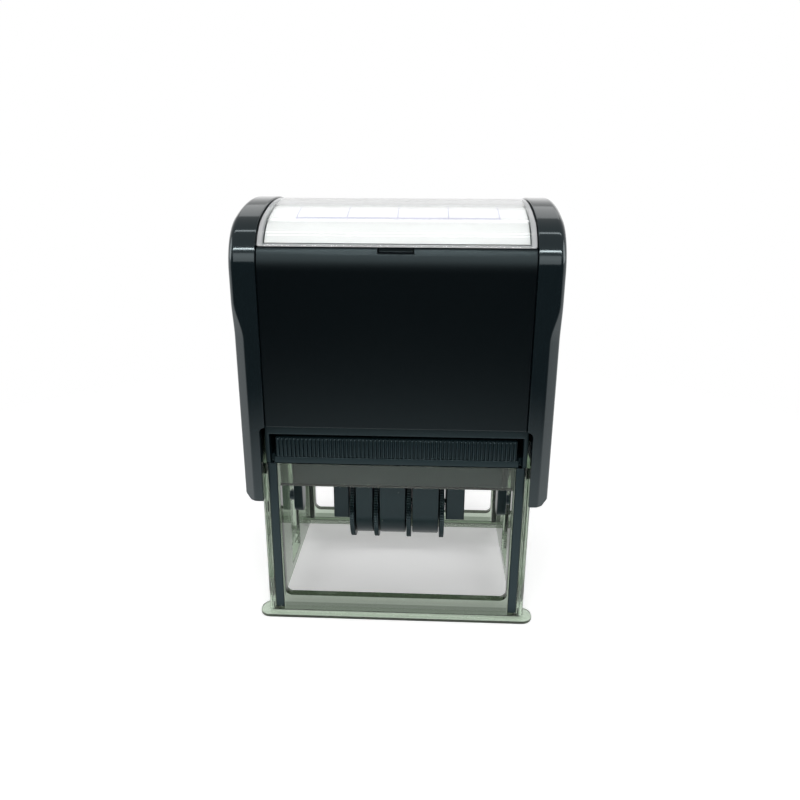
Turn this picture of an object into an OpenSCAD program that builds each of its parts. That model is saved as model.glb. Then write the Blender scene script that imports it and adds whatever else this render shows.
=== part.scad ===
// Self-inking date stamp: clear base, ink cassette, push handle and a die carriage that turns over.
// Frame: origin at the bottom centre of the base, +X to the right, -Y to the front, +Z up. Millimetres.

/* [Base] */
// Outer width of the clear walls
base_w = 63.8; // [58:0.1:72]
// Outer depth of the clear walls
base_d = 48.3; // [44:0.1:54]
// Height of the clear walls
base_h = 41; // [37:0.1:45]
// Thickness of the side walls
side_wall_t = 2.6; // [2.4:0.1:3]
// Thickness of the front and rear walls
end_wall_t = 2.2; // [2:0.1:2.6]
// How far the flange stands out before and beside the walls
flange_out = 2.1; // [1:0.1:4]
// Thickness of the flange
flange_t = 0.8; // [0.6:0.1:2.4]
// Depth of the flange at the front and at the rear
flange_lip = 6.2; // [5.4:0.1:12]
// Corner radius of the flange
flange_r = 2.8; // [1:0.1:6]
// Width of the pillars beside the windows
pillar_w = 4.5; // [4:0.1:6]
// Height of the bar over the windows
bar_h = 5.9; // [5:0.1:8]
// Height of the windows' lower edge
window_z0 = 5.2; // [4:0.2:7]
// Radius of the windows' lower corners
window_r = 1.6; // [1:0.2:4]

/* [Skeleton and ink cassette] */
// Height of the pad housing over the clear walls
housing_h = 9.5; // [8.5:0.1:12]
// How far the housing's sides lie behind the base's sides
housing_in = 1.6; // [1.2:0.1:1.8]
// How far the housing stands out over the base's front and rear
housing_out = 0.15; // [0.05:0.05:0.3]
// Thickness of the housing's top plate
housing_top_t = 2.3; // [1.8:0.1:2.8]
// Thickness of the ledges that carry the cassette
ledge_t = 1.7; // [1.4:0.1:2]
// Height of the legs' feet over the paper
leg_rise = 1.7; // [1:0.1:3]
// Width of a leg in the base's front face
leg_w = 2.05; // [1.6:0.05:2.4]
// Depth of a leg
leg_d = 1.6; // [1.2:0.1:1.8]
// Distance of a leg from the base's side
leg_margin = 1.9; // [1.6:0.1:2.2]
// Gap above the cassette
cassette_gap = 0.8; // [0.4:0.1:1.5]
// Gap beside the cassette's ribbed front
cassette_side_gap = 1.5; // [0.6:0.1:2.5]
// How far the ribbed front stands out beside the cassette's body
cassette_shoulder = 0.8; // [0.4:0.1:1.2]
// Number of ribs on the cassette's front
rib_count = 59; // [30:1:60]
// Depth of the ribs
rib_d = 0.5; // [0.3:0.1:0.7]
// Thickness of the tray's side walls beside the felt
tray_wall = 1.7; // [1.2:0.1:2.5]
// Depth of the felt, front to rear
felt_d = 28; // [25:0.5:31]
// Gap between the resting die and the felt
felt_gap = 1.2; // [1:0.1:1.6]

/* [Handle] */
// Height of the handle from the panels' lower edge to the crest
handle_h = 49.4; // [46:0.1:56]
// Room between the base's side walls and the cheeks
cheek_room = 1.5; // [0.8:0.1:2.5]
// Room between the pad housing and the panels
panel_room = 0.6; // [0.6:0.1:1.5]
// Room between the cheeks' lower ends and the table when pressed
foot_room = 3.3; // [2.5:0.1:4]
// Width of a cheek, from the seam to its outer side
cheek_w = 5.9; // [5:0.1:6.5]
// Wall thickness of the cheeks
cheek_t = 2; // [1.6:0.1:2.4]
// Radius of the shoulder between the panel and the top
shoulder_r = 12; // [10:0.5:14]
// Radius of the arched top
top_r = 56.4; // [50:0.4:64]
// Wall thickness of the panels
panel_t = 1.8; // [1.4:0.1:2.2]
// How far the panels lie behind the cheeks
panel_inset = 0.5; // [0.4:0.1:0.8]
// Height of the index window, from its seat to the crest
window_rise = 9.5; // [8.5:0.1:11]
// Thickness of the clear index window
cover_t = 1.6; // [1.2:0.1:2]
// Thickness of the index card
card_t = 0.4; // [0.2:0.1:0.6]
// Margin of the clear window beside the index card
card_margin = 1.5; // [1:0.1:4]
// Height of the index card's edges over the seat of the window
card_rise = 0.4; // [0.4:0.1:3]
// Width of the notch that the window is prised off by
notch_w = 7.5; // [5:0.5:10]
// Wire thickness of the return springs
spring_wire = 1; // [0.8:0.1:1.2]
// Mean coil diameter of the return springs
spring_mean_d = 7.2; // [6.4:0.1:8]
// Number of turns of each return spring
spring_turns = 9; // [7:1:10]
// Distance of each spring from the middle
spring_x = 13; // [10:0.5:16]

/* [Die carriage] */
// Radius of the trunnion pins
trunnion_r = 2; // [1.8:0.1:2.2]
// Thickness of the flip levers
lever_t = 2.5; // [2.2:0.1:2.8]
// Length of the flip levers from the trunnion axis
lever_l = 19; // [17:0.2:21]
// Width of the flip levers
lever_w = 4.8; // [4.2:0.1:5.4]
// Radius of the guide pins on the levers
guide_r = 1.4; // [1.2:0.1:1.6]
// Depth of the die holder
holder_d = 28.4; // [26:0.1:29]
// Thickness of the text rubber with its relief
rubber_t = 2.3; // [2:0.1:2.6]
// Height of the relief on the rubber
relief_t = 1; // [0.6:0.1:1.2]
// Thickness of the plate under the rubber
plate_t = 1.5; // [1.2:0.1:1.8]
// Margin of the holder beside the rubber
die_margin = 1.7; // [0.6:0.1:2.2]
// Margin of the holder before and behind the rubber
die_margin_d = 1.7; // [1:0.1:2.5]

/* [Date unit] */
// Width over the cage's end blocks
cage_w = 35; // [33:0.1:39]
// Thickness of the cage's end blocks
block_w = 4.1; // [3.6:0.1:4.6]
// Distance of the wheel axle from the trunnion axis
axle_drop = 16.2; // [15:0.1:16.6]
// Radius of the wheel axle
axle_r = 1.5; // [1.2:0.1:1.8]
// Radius of the setting discs over the teeth
disc_r = 9.2; // [8.4:0.1:9.4]
// Thickness of a setting disc
disc_t = 1.2; // [1:0.1:1.4]
// Number of teeth on a setting disc
disc_teeth = 84; // [60:2:120]
// Depth of the disc teeth
tooth_d = 0.45; // [0.2:0.05:0.5]
// Width of each of the two day bands
day_band_w = 2.125; // [1.8:0.025:2.4]
// Width of the month band
month_band_w = 6.85; // [6:0.05:7.6]
// Outer radius of the guards between the discs
guard_r = 8; // [7.4:0.1:8.2]
// Radius of the hubs that the bands run on
hub_r = 4.55; // [4.2:0.05:5]
// Thickness of the date bands
band_t = 1; // [0.8:0.1:1.1]

/* [Fits] */
// Radial clearance of running shafts
running_gap = 0.05; // [0.02:0.01:0.1]
// Clearance between sliding pieces
slide_gap = 0.4; // [0.3:0.05:0.5]
// Clearance of pieces that sit in each other
seat_gap = 0.1; // [0.05:0.05:0.15]

/* [Hidden] */
$fn = 64;
cut = 0.5;
paper_t = 0.1;

// Walls of the base
flange_w = base_w + 2 * flange_out;
flange_d = base_d + 2 * flange_out;
flange_corner_r = min(flange_r, (flange_lip - cut) / 2);
base_r = 1.5;
inner_x = base_w / 2 - side_wall_t;
inner_y = base_d / 2 - end_wall_t;
window_w = base_w - 2 * pillar_w;
window_z1 = base_h - bar_h;
leg_x = base_w / 2 - leg_margin;

// Pad housing and cassette
housing_w = base_w - 2 * housing_in;
housing_d = base_d + 2 * housing_out;
opening_w = 2 * inner_x;
housing_top = base_h + housing_h;
plate_z = housing_top - housing_top_t;
lip_z = base_h + ledge_t;
lip_d = 2.8;
lip_slit_w = 0.9;
housing_rear_t = 1.7;
cassette_out = panel_room / 2;
cassette_y = -housing_d / 2 - cassette_out;
cassette_front_t = 1.7;
cassette_end_gap = 2.6;
cassette_rear_y = housing_d / 2 - housing_rear_t - cassette_end_gap;
cassette_z = lip_z + seat_gap;
cassette_front_w = opening_w - 2 * cassette_side_gap;
cassette_front_h = plate_z - cassette_z - cassette_gap;
cassette_w = cassette_front_w - 2 * cassette_shoulder;
ledge_bite = 1;
ledge_x = cassette_w / 2 - ledge_bite;
felt_w = cassette_w - 2 * tray_wall;
felt_z = lip_z + 2 * seat_gap;
felt_t = 2.5;
peg_gap = 0.5;
peg_r = (spring_mean_d - spring_wire) / 2 - peg_gap;
peg_h = 4;

// Stroke: the die rests under the felt and ends on the paper, upside down
pin_cover = 0.4;
die_reach = trunnion_r + pin_cover + plate_t + rubber_t;
print_z = felt_z - felt_gap;
pivot_z = print_z - die_reach;
travel = pivot_z - die_reach - paper_t;
guide_x = travel / 2;
groove_d = 1.5;
island = [0.2 * travel, 0.8 * travel];

// Handle arch, as concentric outlines
handle_w = base_w + 2 * (cheek_room + cheek_t);
handle_d = housing_d + 2 * (panel_room + panel_t + panel_inset);
panel_gap = 0.3;
panel_z0 = housing_top + panel_gap;
panel_w = handle_w - 2 * cheek_w;
handle_top = panel_z0 + handle_h;
cheek_z0 = travel + foot_room;
shoulder_y = handle_d / 2 - shoulder_r;
top_centre_z = handle_top - top_r;
shoulder_rise = sqrt(pow(top_r - shoulder_r, 2) - pow(shoulder_y, 2));
shoulder_z = top_centre_z + shoulder_rise;
window_seat_z = handle_top - window_rise;
cover_inset = 0.3;
card_inset = cover_inset + cover_t + 2 * seat_gap;
card_w = panel_w - 2 * card_margin;
card_z0 = window_seat_z + card_rise;
deck_inset = card_inset + card_t + seat_gap;
deck_t = 1.6;
band_drop = 4.2;
over_top = handle_top + cut;
notch_h = 1.1;
notch_d = 2.4;
bevel_x = 2.7;
bevel_y = 2;
bevel_l = 43.5;
foot_bevel = 1.5;
cheek_step = 1.3;
boss_w = 10;
boss_top = base_h - slide_gap;
slot_w = boss_w + 2 * slide_gap;
slot_room = 0.7;
slot_z0 = foot_room - slot_room;
spring_pad = 2;
spring_seat_z = handle_top - deck_inset - deck_t - spring_pad;
spring_z0 = housing_top;
spring_l = spring_seat_z - spring_z0 - seat_gap;

// Die carriage
wall_gap = 0.3;
ear_out = 0.4;
ear_r = 3.4;
ear_l = 4;
eye_r = ear_r - slide_gap;
lever_x1 = inner_x - wall_gap;
lever_x0 = lever_x1 - lever_t;
holder_w = 2 * (lever_x0 - ear_out);
holder_top = print_z - rubber_t - plate_t;
holder_skirt = 4.3;
holder_z0 = pivot_z - holder_skirt;
holder_wall = 1.8;
web_t = 1.5;
plate_margin = 0.4;
die_w = holder_w - 2 * die_margin;
die_d = holder_d - 2 * die_margin_d;
pin_bite = 0.5;
pin_x0 = holder_w / 2 - ear_l + 2 * seat_gap;
pin_x1 = handle_w / 2 - cheek_t + pin_bite;
plate_slot_d = 7.8;
die_slot_d = 7.2;
rule_w = 29;
rule_y = [-8.4, -5.8, 5.8, 8.4];

// Date unit: end blocks, discs between them and the spans of the bands between the discs
axle_z = pivot_z - axle_drop;
guard_gap = 0.3;
guard_t = 0.8;
band_gap = 0.15;
end_gap = 0.5;
spacer_t = 0.8;
block_d = 11;
block_drop = 2.1;
block_z0 = axle_z - block_drop;
block_x = cage_w / 2 - block_w;
post_t = 1.6;
post_w = 2 * (block_x + post_t + guard_gap);
die_slot_w = 2 * block_x + 1;
cage_flange_t = 1.8;
cage_flange_w = cage_w + 4;
cage_top = holder_top - web_t;
cage_flange_z = cage_top - cage_flange_t;
slot_y = 4.4;
disc_room = disc_t / 2 + guard_gap;
tens_disc_x = -block_x + end_gap + disc_t / 2;
year_disc_x = block_x - spacer_t - end_gap - disc_t / 2;
tens_span = [tens_disc_x + disc_room, tens_disc_x + disc_room + day_band_w];
units_span = [tens_span[1] + 2 * band_gap, tens_span[1] + 2 * band_gap + day_band_w];
units_disc_x = units_span[1] + disc_room;
month_span = [units_disc_x + disc_room, units_disc_x + disc_room + month_band_w];
month_disc_x = month_span[1] + disc_room;
year_span = [month_disc_x + disc_room, year_disc_x - disc_room];
bridge_y = 1.6;
bridge_r = 0.7;
character_t = 0.6;
bridge_z = print_z - character_t - band_t - bridge_r;
band_r = hub_r + band_gap;
bridge_rise = bridge_z - axle_z;
// Direction in which a band's straight flank faces
tilt = atan2(bridge_rise, bridge_y) - acos((band_r - bridge_r) / norm([bridge_y, bridge_rise]));

// A box centred on X and Y that stands on z
module block(size, z) {
    translate([-size.x / 2, -size.y / 2, z])
        cube(size);
}

// Both mirror images of a shape across the YZ plane
module both_sides() {
    children();
    mirror([1, 0, 0])
        children();
}

// Both mirror images of a shape across the XZ plane
module front_and_rear() {
    children();
    mirror([0, 1, 0])
        children();
}

// A YZ outline stretched along X from x0 to x1
module along_x(x0, x1) {
    translate([x0, 0, 0])
        rotate([90, 0, 90])
            linear_extrude(x1 - x0)
                children();
}

// A round bar along X
module bar_x(r, x0, x1, z) {
    translate([x0, 0, z])
        rotate([0, 90, 0])
            cylinder(r = r, h = x1 - x0);
}

// Rectangle with round corners, centred
module rounded_rectangle(w, d, r) {
    square([w - 2 * r, d], center = true);
    square([w, d - 2 * r], center = true);
    for (x = [-1, 1], y = [-1, 1])
        translate([x * (w / 2 - r), y * (d / 2 - r)])
            circle(r);
}

// Window outline with round lower corners, in the XZ plane
module window_outline() {
    straight = window_w - 2 * window_r;
    translate([-straight / 2, window_z0])
        square([straight, window_z1 - window_z0]);
    translate([-window_w / 2, window_z0 + window_r])
        square([window_w, window_z1 - window_z0 - window_r]);
    for (x = [-1, 1])
        translate([x * straight / 2, window_z0 + window_r])
            circle(window_r);
}

// Place of a guide pin when the handle is down by s, and its direction there
function flip(s) = 180 * s / travel;
function guide_at(s) = [guide_x * sin(flip(s)), pivot_z - s - guide_x * cos(flip(s))];
function guide_speed(s) = [PI / 2 * cos(flip(s)), PI / 2 * sin(flip(s)) - 1];
function guide_side(s) = [guide_speed(s).y, -guide_speed(s).x] / norm(guide_speed(s));

// Outline at a distance from the guide pin's path, on its outer side where the distance is positive
module cam_outline(distance, s0, s1) {
    steps = 28;
    polygon([for (i = [0 : steps])
        let (s = s0 + (s1 - s0) * i / steps)
        guide_at(s) + distance * guide_side(s)]);
}

// Cam recess in one side wall that the guide pin runs round
module cam_groove() {
    reach = guide_r + slide_gap / 2;
    difference() {
        along_x(inner_x - cut, inner_x + groove_d)
            cam_outline(reach, 0, travel);
        along_x(inner_x - 2 * cut, inner_x + groove_d + cut)
            cam_outline(-reach, island[0], island[1]);
    }
}

// Room for one leg in the front wall
module leg_shape(gap, z0, z1) {
    translate([leg_x - leg_w - gap, -base_d / 2 - (gap > 0 ? cut : 0), z0])
        cube([leg_w + 2 * gap, leg_d + gap + (gap > 0 ? cut : 0), z1 - z0]);
}

module base_frame() {
    color([0.77, 0.82, 0.75, 0.5])
        difference() {
            union() {
                front_and_rear()
                    translate([0, (flange_lip - flange_d) / 2, 0])
                        linear_extrude(flange_t)
                            rounded_rectangle(flange_w, flange_lip, flange_corner_r);
                linear_extrude(base_h)
                    rounded_rectangle(base_w, base_d, base_r);
            }
            block([2 * inner_x, 2 * inner_y, base_h + 2 * cut], -cut);
            translate([0, base_d, 0])
                rotate([90, 0, 0])
                    linear_extrude(2 * base_d)
                        window_outline();
            both_sides() {
                translate([inner_x - cut, -slot_w / 2, slot_z0])
                    cube([side_wall_t + 2 * cut, slot_w, base_h]);
                cam_groove();
                front_and_rear()
                    leg_shape(seat_gap / 2, leg_rise, base_h + cut);
            }
        }
}

module skeleton() {
    side_t = (housing_w - opening_w) / 2;
    color([0.12, 0.13, 0.14])
        difference() {
            union() {
                block([housing_w, housing_d, housing_top_t], plate_z);
                both_sides() {
                    translate([opening_w / 2, -housing_d / 2, base_h])
                        cube([side_t, housing_d, housing_top - base_h]);
                    translate([ledge_x, -housing_d / 2, base_h])
                        cube([housing_w / 2 - ledge_x, housing_d, ledge_t]);
                    front_and_rear()
                        leg_shape(0, leg_rise, lip_z);
                    translate([spring_x, 0, housing_top - cut])
                        cylinder(r = peg_r, h = peg_h + cut);
                }
                translate([-housing_w / 2, -housing_d / 2, base_h])
                    cube([housing_w, lip_d, ledge_t]);
                translate([-housing_w / 2, housing_d / 2 - housing_rear_t, base_h])
                    cube([housing_w, housing_rear_t, housing_top - base_h]);
            }
            both_sides()
                translate([opening_w / 2 - lip_slit_w, -housing_d / 2 - cut, base_h])
                    cube([lip_slit_w, leg_d + cut, ledge_t + cut]);
        }
}

// Ribbed front edge of the cassette, seen from above
module rib_outline() {
    pitch = cassette_front_w / rib_count;
    half = cassette_front_w / 2;
    ribs = [for (i = [0 : rib_count - 1], p = [[0.1, 1], [0.25, 0], [0.75, 0], [0.9, 1]])
        [-half + (i + p.x) * pitch, cassette_y + p.y * rib_d]];
    polygon(concat([[-half, cassette_y + cassette_front_t]], [[-half, cassette_y + rib_d]], ribs,
        [[half, cassette_y + rib_d]], [[half, cassette_y + cassette_front_t]]));
}

module pad_cassette() {
    body_y = cassette_y + cassette_front_t - seat_gap;
    color([0.1, 0.1, 0.11])
        difference() {
            union() {
                translate([0, 0, cassette_z])
                    linear_extrude(cassette_front_h)
                        rib_outline();
                translate([-cassette_w / 2, body_y, cassette_z])
                    cube([cassette_w, cassette_rear_y - body_y, cassette_front_h]);
            }
            block([felt_w + 2 * seat_gap, felt_d + 2 * seat_gap, felt_t + seat_gap + cut],
                cassette_z - cut);
        }
}

module ink_pad() {
    color([0.2, 0.2, 0.45])
        block([felt_w, felt_d, felt_t], felt_z);
}

// Side outline of the handle, a distance inside its outer face, from z0 up
module arch_outline(inset, z0) {
    sweep = 1.5;
    wedge_z = top_centre_z + sweep * shoulder_rise;
    translate([-handle_d / 2 + inset, z0])
        square([handle_d - 2 * inset, shoulder_z - z0]);
    for (y = [-1, 1])
        translate([y * shoulder_y, shoulder_z])
            circle(shoulder_r - inset, $fn = 96);
    intersection() {
        translate([0, top_centre_z])
            circle(top_r - inset, $fn = 180);
        polygon([[0, top_centre_z], [sweep * shoulder_y, wedge_z], [-sweep * shoulder_y, wedge_z]]);
    }
}

// A shell between two insets of the handle's outline, kept between two heights
module arch_shell(outer, inner, half_w, z0, z1) {
    intersection() {
        difference() {
            along_x(-half_w, half_w)
                arch_outline(outer, z0);
            along_x(-half_w - cut, half_w + cut)
                arch_outline(inner, z0 - cut);
        }
        block([2 * (half_w + cut), 2 * handle_d, z1 - z0], z0);
    }
}

module handle_shell() {
    band_z0 = window_seat_z - band_drop;
    deck_in = deck_inset + deck_t;
    seat_r = spring_mean_d / 2 + spring_wire;
    color([0.14, 0.15, 0.15])
        difference() {
            union() {
                arch_shell(panel_inset, panel_inset + panel_t, panel_w / 2, panel_z0, window_seat_z);
                arch_shell(panel_inset, deck_in, panel_w / 2, band_z0, window_seat_z);
                arch_shell(deck_inset, deck_in, panel_w / 2, band_z0, over_top);
                both_sides()
                    translate([spring_x, 0, spring_seat_z - peg_h]) {
                        cylinder(r = peg_r, h = peg_h + cut);
                        translate([0, 0, peg_h])
                            cylinder(r = seat_r, h = handle_top - deck_in - spring_seat_z);
                    }
            }
            translate([-notch_w / 2, -handle_d / 2, window_seat_z - notch_h])
                cube([notch_w, panel_inset + notch_d, notch_h + cut]);
        }
}

// Right-hand cheek with the trunnion boss inside
module cheek() {
    x1 = handle_w / 2;
    x0 = panel_w / 2;
    difference() {
        union() {
            difference() {
                along_x(x0, x1)
                    arch_outline(0, cheek_z0);
                along_x(x0 - cut, x1 - cheek_t)
                    arch_outline(cheek_t, cheek_z0 - cut);
                translate([x0 - cut, -handle_d, cheek_z0 - cut])
                    cube([cheek_step + cut, 2 * handle_d, panel_z0 - cheek_z0 + cut]);
                front_and_rear()
                    translate([0, 0, cheek_z0 - cut])
                        linear_extrude(bevel_l + cut)
                            polygon([
                                [x1 - bevel_x, -handle_d / 2],
                                [x1 + cut, -handle_d / 2 - cut],
                                [x1, -handle_d / 2 + bevel_y]
                            ]);
            }
            translate([inner_x + seat_gap, -boss_w / 2, cheek_z0])
                cube([x1 - cheek_t - inner_x, boss_w, boss_top - cheek_z0]);
        }
        bar_x(trunnion_r + running_gap, inner_x - cut, pin_x1 + seat_gap, pivot_z);
        translate([0, handle_d, cheek_z0])
            rotate([90, 0, 0])
                linear_extrude(2 * handle_d)
                    polygon([[x1 - foot_bevel, 0], [x1, foot_bevel], [x1 + cut, 0], [x1, -cut]]);
    }
}

module right_cheek() {
    color([0.1, 0.1, 0.11])
        cheek();
}

module left_cheek() {
    color([0.1, 0.1, 0.11])
        mirror([1, 0, 0])
            cheek();
}

module index_card() {
    color([0.96, 0.96, 0.95])
        arch_shell(card_inset, card_inset + card_t, card_w / 2, card_z0, over_top);
}

module index_window() {
    color([0.9, 0.92, 0.92, 0.35])
        arch_shell(cover_inset, cover_inset + cover_t, panel_w / 2 - 2 * seat_gap,
            window_seat_z + seat_gap, over_top);
}

// A point on the ring of a coil's wire: turn angle along the helix, side angle round the wire
function coil_point(turn, side) =
    let (
        rise = spring_l - spring_wire,
        radius = spring_mean_d / 2 + spring_wire / 2 * cos(side)
    )
    [
        radius * cos(turn),
        radius * sin(turn),
        spring_z0 + spring_wire / 2 + rise * turn / (360 * spring_turns) + spring_wire / 2 * sin(side)
    ];

// One return spring, an unbroken tube
module return_spring() {
    sides = 6;
    per_turn = 8;
    rings = per_turn * spring_turns;
    points = [for (i = [0 : rings], j = [0 : sides - 1])
        coil_point(360 * i / per_turn, 360 * j / sides)];
    walls = [for (i = [0 : rings - 1], j = [0 : sides - 1], half = [0, 1])
        let (low = i * sides, high = low + sides, k = (j + 1) % sides)
        half == 0 ? [low + j, high + j, high + k] : [low + j, high + k, low + k]];
    start = [for (j = [0 : sides - 1]) j];
    end = [for (j = [sides - 1 : -1 : 0]) rings * sides + j];
    echo(least_self_gap = (spring_l - spring_wire) / spring_turns - spring_wire);
    translate([spring_x, 0, 0])
        polyhedron(points, concat(walls, [start], [end]), convexity = 8);
}

module right_return_spring() {
    color([0.7, 0.7, 0.72])
        return_spring();
}

module left_return_spring() {
    color([0.7, 0.7, 0.72])
        mirror([1, 0, 0])
            return_spring();
}

module die_holder() {
    color([0.12, 0.12, 0.13])
        difference() {
            union() {
                block([holder_w, holder_d, holder_top - holder_z0], holder_z0);
                both_sides()
                    bar_x(ear_r, holder_w / 2 - ear_l, lever_x0, pivot_z);
            }
            difference() {
                block([holder_w - 2 * holder_wall, holder_d - 2 * holder_wall, cage_top - holder_z0 + cut],
                    holder_z0 - cut);
                both_sides()
                    bar_x(ear_r, holder_w / 2 - ear_l, holder_w / 2, pivot_z);
            }
            block([post_w, 2 * slot_y, web_t + 2 * cut], cage_top - cut);
            block([2 * lever_x0, 2 * ear_r, ear_r], holder_top);
            both_sides()
                bar_x(trunnion_r, 0, lever_x0 + cut, pivot_z);
        }
}

module text_plate() {
    color([0.15, 0.15, 0.16])
        difference() {
            block([holder_w - plate_margin, holder_d - 3 * plate_margin, plate_t], holder_top);
            block([post_w, plate_slot_d, plate_t + 2 * cut], holder_top - cut);
        }
}

// Raised rim and rules of the printing face
module text_relief() {
    rim = 0.9;
    difference() {
        square([die_w, die_d], center = true);
        square([die_w - 2 * rim, die_d - 2 * rim], center = true);
    }
    for (y = rule_y)
        translate([0, y])
            square([rule_w, rim], center = true);
}

module text_die() {
    color([0.35, 0.3, 0.3])
        difference() {
            union() {
                block([die_w, die_d, rubber_t - relief_t], holder_top + plate_t);
                translate([0, 0, print_z - relief_t - cut])
                    linear_extrude(relief_t + cut)
                        text_relief();
            }
            block([die_slot_w, die_slot_d, rubber_t + 2 * cut], holder_top + plate_t - cut);
        }
}

// Right-hand lever with its guide pin
module flip_lever() {
    end_r = lever_w / 2;
    difference() {
        union() {
            translate([lever_x0, -lever_w / 2, pivot_z - lever_l + end_r])
                cube([lever_x1 - lever_x0, lever_w, lever_l - end_r]);
            bar_x(end_r, lever_x0, lever_x1, pivot_z - lever_l + end_r);
            bar_x(eye_r, lever_x0, lever_x1, pivot_z);
            bar_x(guide_r, lever_x1 - cut, inner_x + groove_d - slide_gap, pivot_z - guide_x);
        }
        bar_x(trunnion_r, lever_x0 - cut, lever_x1 + cut, pivot_z);
    }
}

module right_flip_lever() {
    color([0.08, 0.08, 0.09])
        flip_lever();
}

module left_flip_lever() {
    color([0.08, 0.08, 0.09])
        mirror([1, 0, 0])
            flip_lever();
}

module trunnion_pins() {
    color([0.7, 0.7, 0.72])
        both_sides()
            bar_x(trunnion_r, pin_x0, pin_x1, pivot_z);
}

// A guard over the bands of one span: open upwards, round below
module guard(span) {
    inner_r = guard_r - guard_t;
    along_x(span[0], span[1])
        difference() {
            union() {
                translate([0, axle_z])
                    circle(guard_r);
                translate([-guard_r, axle_z])
                    square([2 * guard_r, cage_flange_z + cut - axle_z]);
            }
            translate([0, axle_z])
                circle(inner_r);
            translate([-inner_r, axle_z])
                square([2 * inner_r, holder_top]);
        }
}

module date_cage() {
    color([0.13, 0.14, 0.14])
        difference() {
            union() {
                both_sides() {
                    translate([block_x, -block_d / 2, block_z0])
                        cube([block_w, block_d, cage_top - block_z0]);
                    translate([block_x, -bridge_y, cage_flange_z])
                        cube([post_t, 2 * bridge_y, bridge_z - cage_flange_z]);
                }
                difference() {
                    block([cage_flange_w, 2 * guard_r, cage_flange_t], cage_flange_z);
                    block([2 * block_x, 2 * slot_y, cage_flange_t + 2 * cut], cage_flange_z - cut);
                }
                translate([block_x - spacer_t, -block_d / 2, block_z0])
                    cube([spacer_t + cut, block_d, cage_flange_z + cut - block_z0]);
                for (span = [[tens_span[0], units_span[1]], month_span, year_span])
                    guard(span);
            }
            bar_x(axle_r, -cage_w, cage_w, axle_z);
        }
}

module wheel_axle() {
    color([0.7, 0.7, 0.72])
        bar_x(axle_r, -cage_w / 2 + cut, cage_w / 2 - cut, axle_z);
}

// Points on an arc round a centre, from one angle to another
function arc(centre, r, from, to, steps) =
    [for (i = [0 : steps])
        let (a = from + (to - from) * i / steps)
        centre + r * [cos(a), sin(a)]];

// Outline of a band loop grown by a distance: round the hub below, over the bridge above
module loop_outline(grow) {
    polygon(concat(
        arc([0, axle_z], band_r + grow, 180 - tilt, 360 + tilt, 24),
        arc([bridge_y, bridge_z], bridge_r + grow, tilt, 90, 5),
        arc([-bridge_y, bridge_z], bridge_r + grow, 90, 180 - tilt, 5)
    ));
}

// A date band with its characters as plain raised blocks on the print line
module date_band(span, characters) {
    step = (span[1] - span[0]) / characters;
    gap = 0.2;
    color([0.2, 0.2, 0.21])
        union() {
            along_x(span[0], span[1])
                difference() {
                    loop_outline(band_t);
                    loop_outline(0);
                }
            for (i = [0 : characters - 1])
                translate([span[0] + i * step + gap, -bridge_y, bridge_z + bridge_r + band_t / 2])
                    cube([step - 2 * gap, 2 * bridge_y, character_t + band_t / 2]);
        }
}

module day_tens_band() {
    date_band(tens_span, 1);
}

module day_units_band() {
    date_band(units_span, 1);
}

module month_band() {
    date_band(month_span, 3);
}

module year_band() {
    date_band(year_span, 4);
}

module band_bridge() {
    z0 = cage_top - cage_flange_t / 2;
    color([0.15, 0.15, 0.16])
        intersection() {
            along_x(-block_x, block_x)
                loop_outline(-seat_gap);
            block([2 * block_x, 4 * bridge_y, print_z - z0], z0);
        }
}

// A toothed setting disc with the hub that its band runs on
module setting_wheel(x, hub_x0, hub_x1) {
    teeth = [for (i = [0 : 2 * disc_teeth - 1])
        (disc_r - (i % 2) * tooth_d) * [cos(180 * i / disc_teeth), sin(180 * i / disc_teeth)]];
    color([0.16, 0.17, 0.17])
        difference() {
            union() {
                along_x(x - disc_t / 2, x + disc_t / 2)
                    translate([0, axle_z])
                        polygon(teeth);
                bar_x(hub_r, hub_x0, hub_x1, axle_z);
            }
            bar_x(axle_r + running_gap, hub_x0 - 2 * disc_t, hub_x1 + 2 * disc_t, axle_z);
        }
}

module day_tens_wheel() {
    setting_wheel(tens_disc_x, tens_disc_x, tens_span[1]);
}

module day_units_wheel() {
    setting_wheel(units_disc_x, units_span[0], units_disc_x);
}

module month_wheel() {
    setting_wheel(month_disc_x, month_span[0], month_disc_x);
}

module year_wheel() {
    setting_wheel(year_disc_x, year_span[0], year_disc_x);
}

base_frame();
skeleton();
pad_cassette();
ink_pad();
handle_shell();
left_cheek();
right_cheek();
index_card();
index_window();
left_return_spring();
right_return_spring();
die_holder();
text_plate();
text_die();
left_flip_lever();
right_flip_lever();
trunnion_pins();
date_cage();
wheel_axle();
band_bridge();
day_tens_band();
day_units_band();
month_band();
year_band();
day_tens_wheel();
day_units_wheel();
month_wheel();
year_wheel();
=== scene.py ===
import logging
import math
from dataclasses import dataclass, field
from enum import Enum
from typing import Callable, Iterable, Sequence

import bmesh
import bpy
from mathutils import Matrix, Vector


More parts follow.
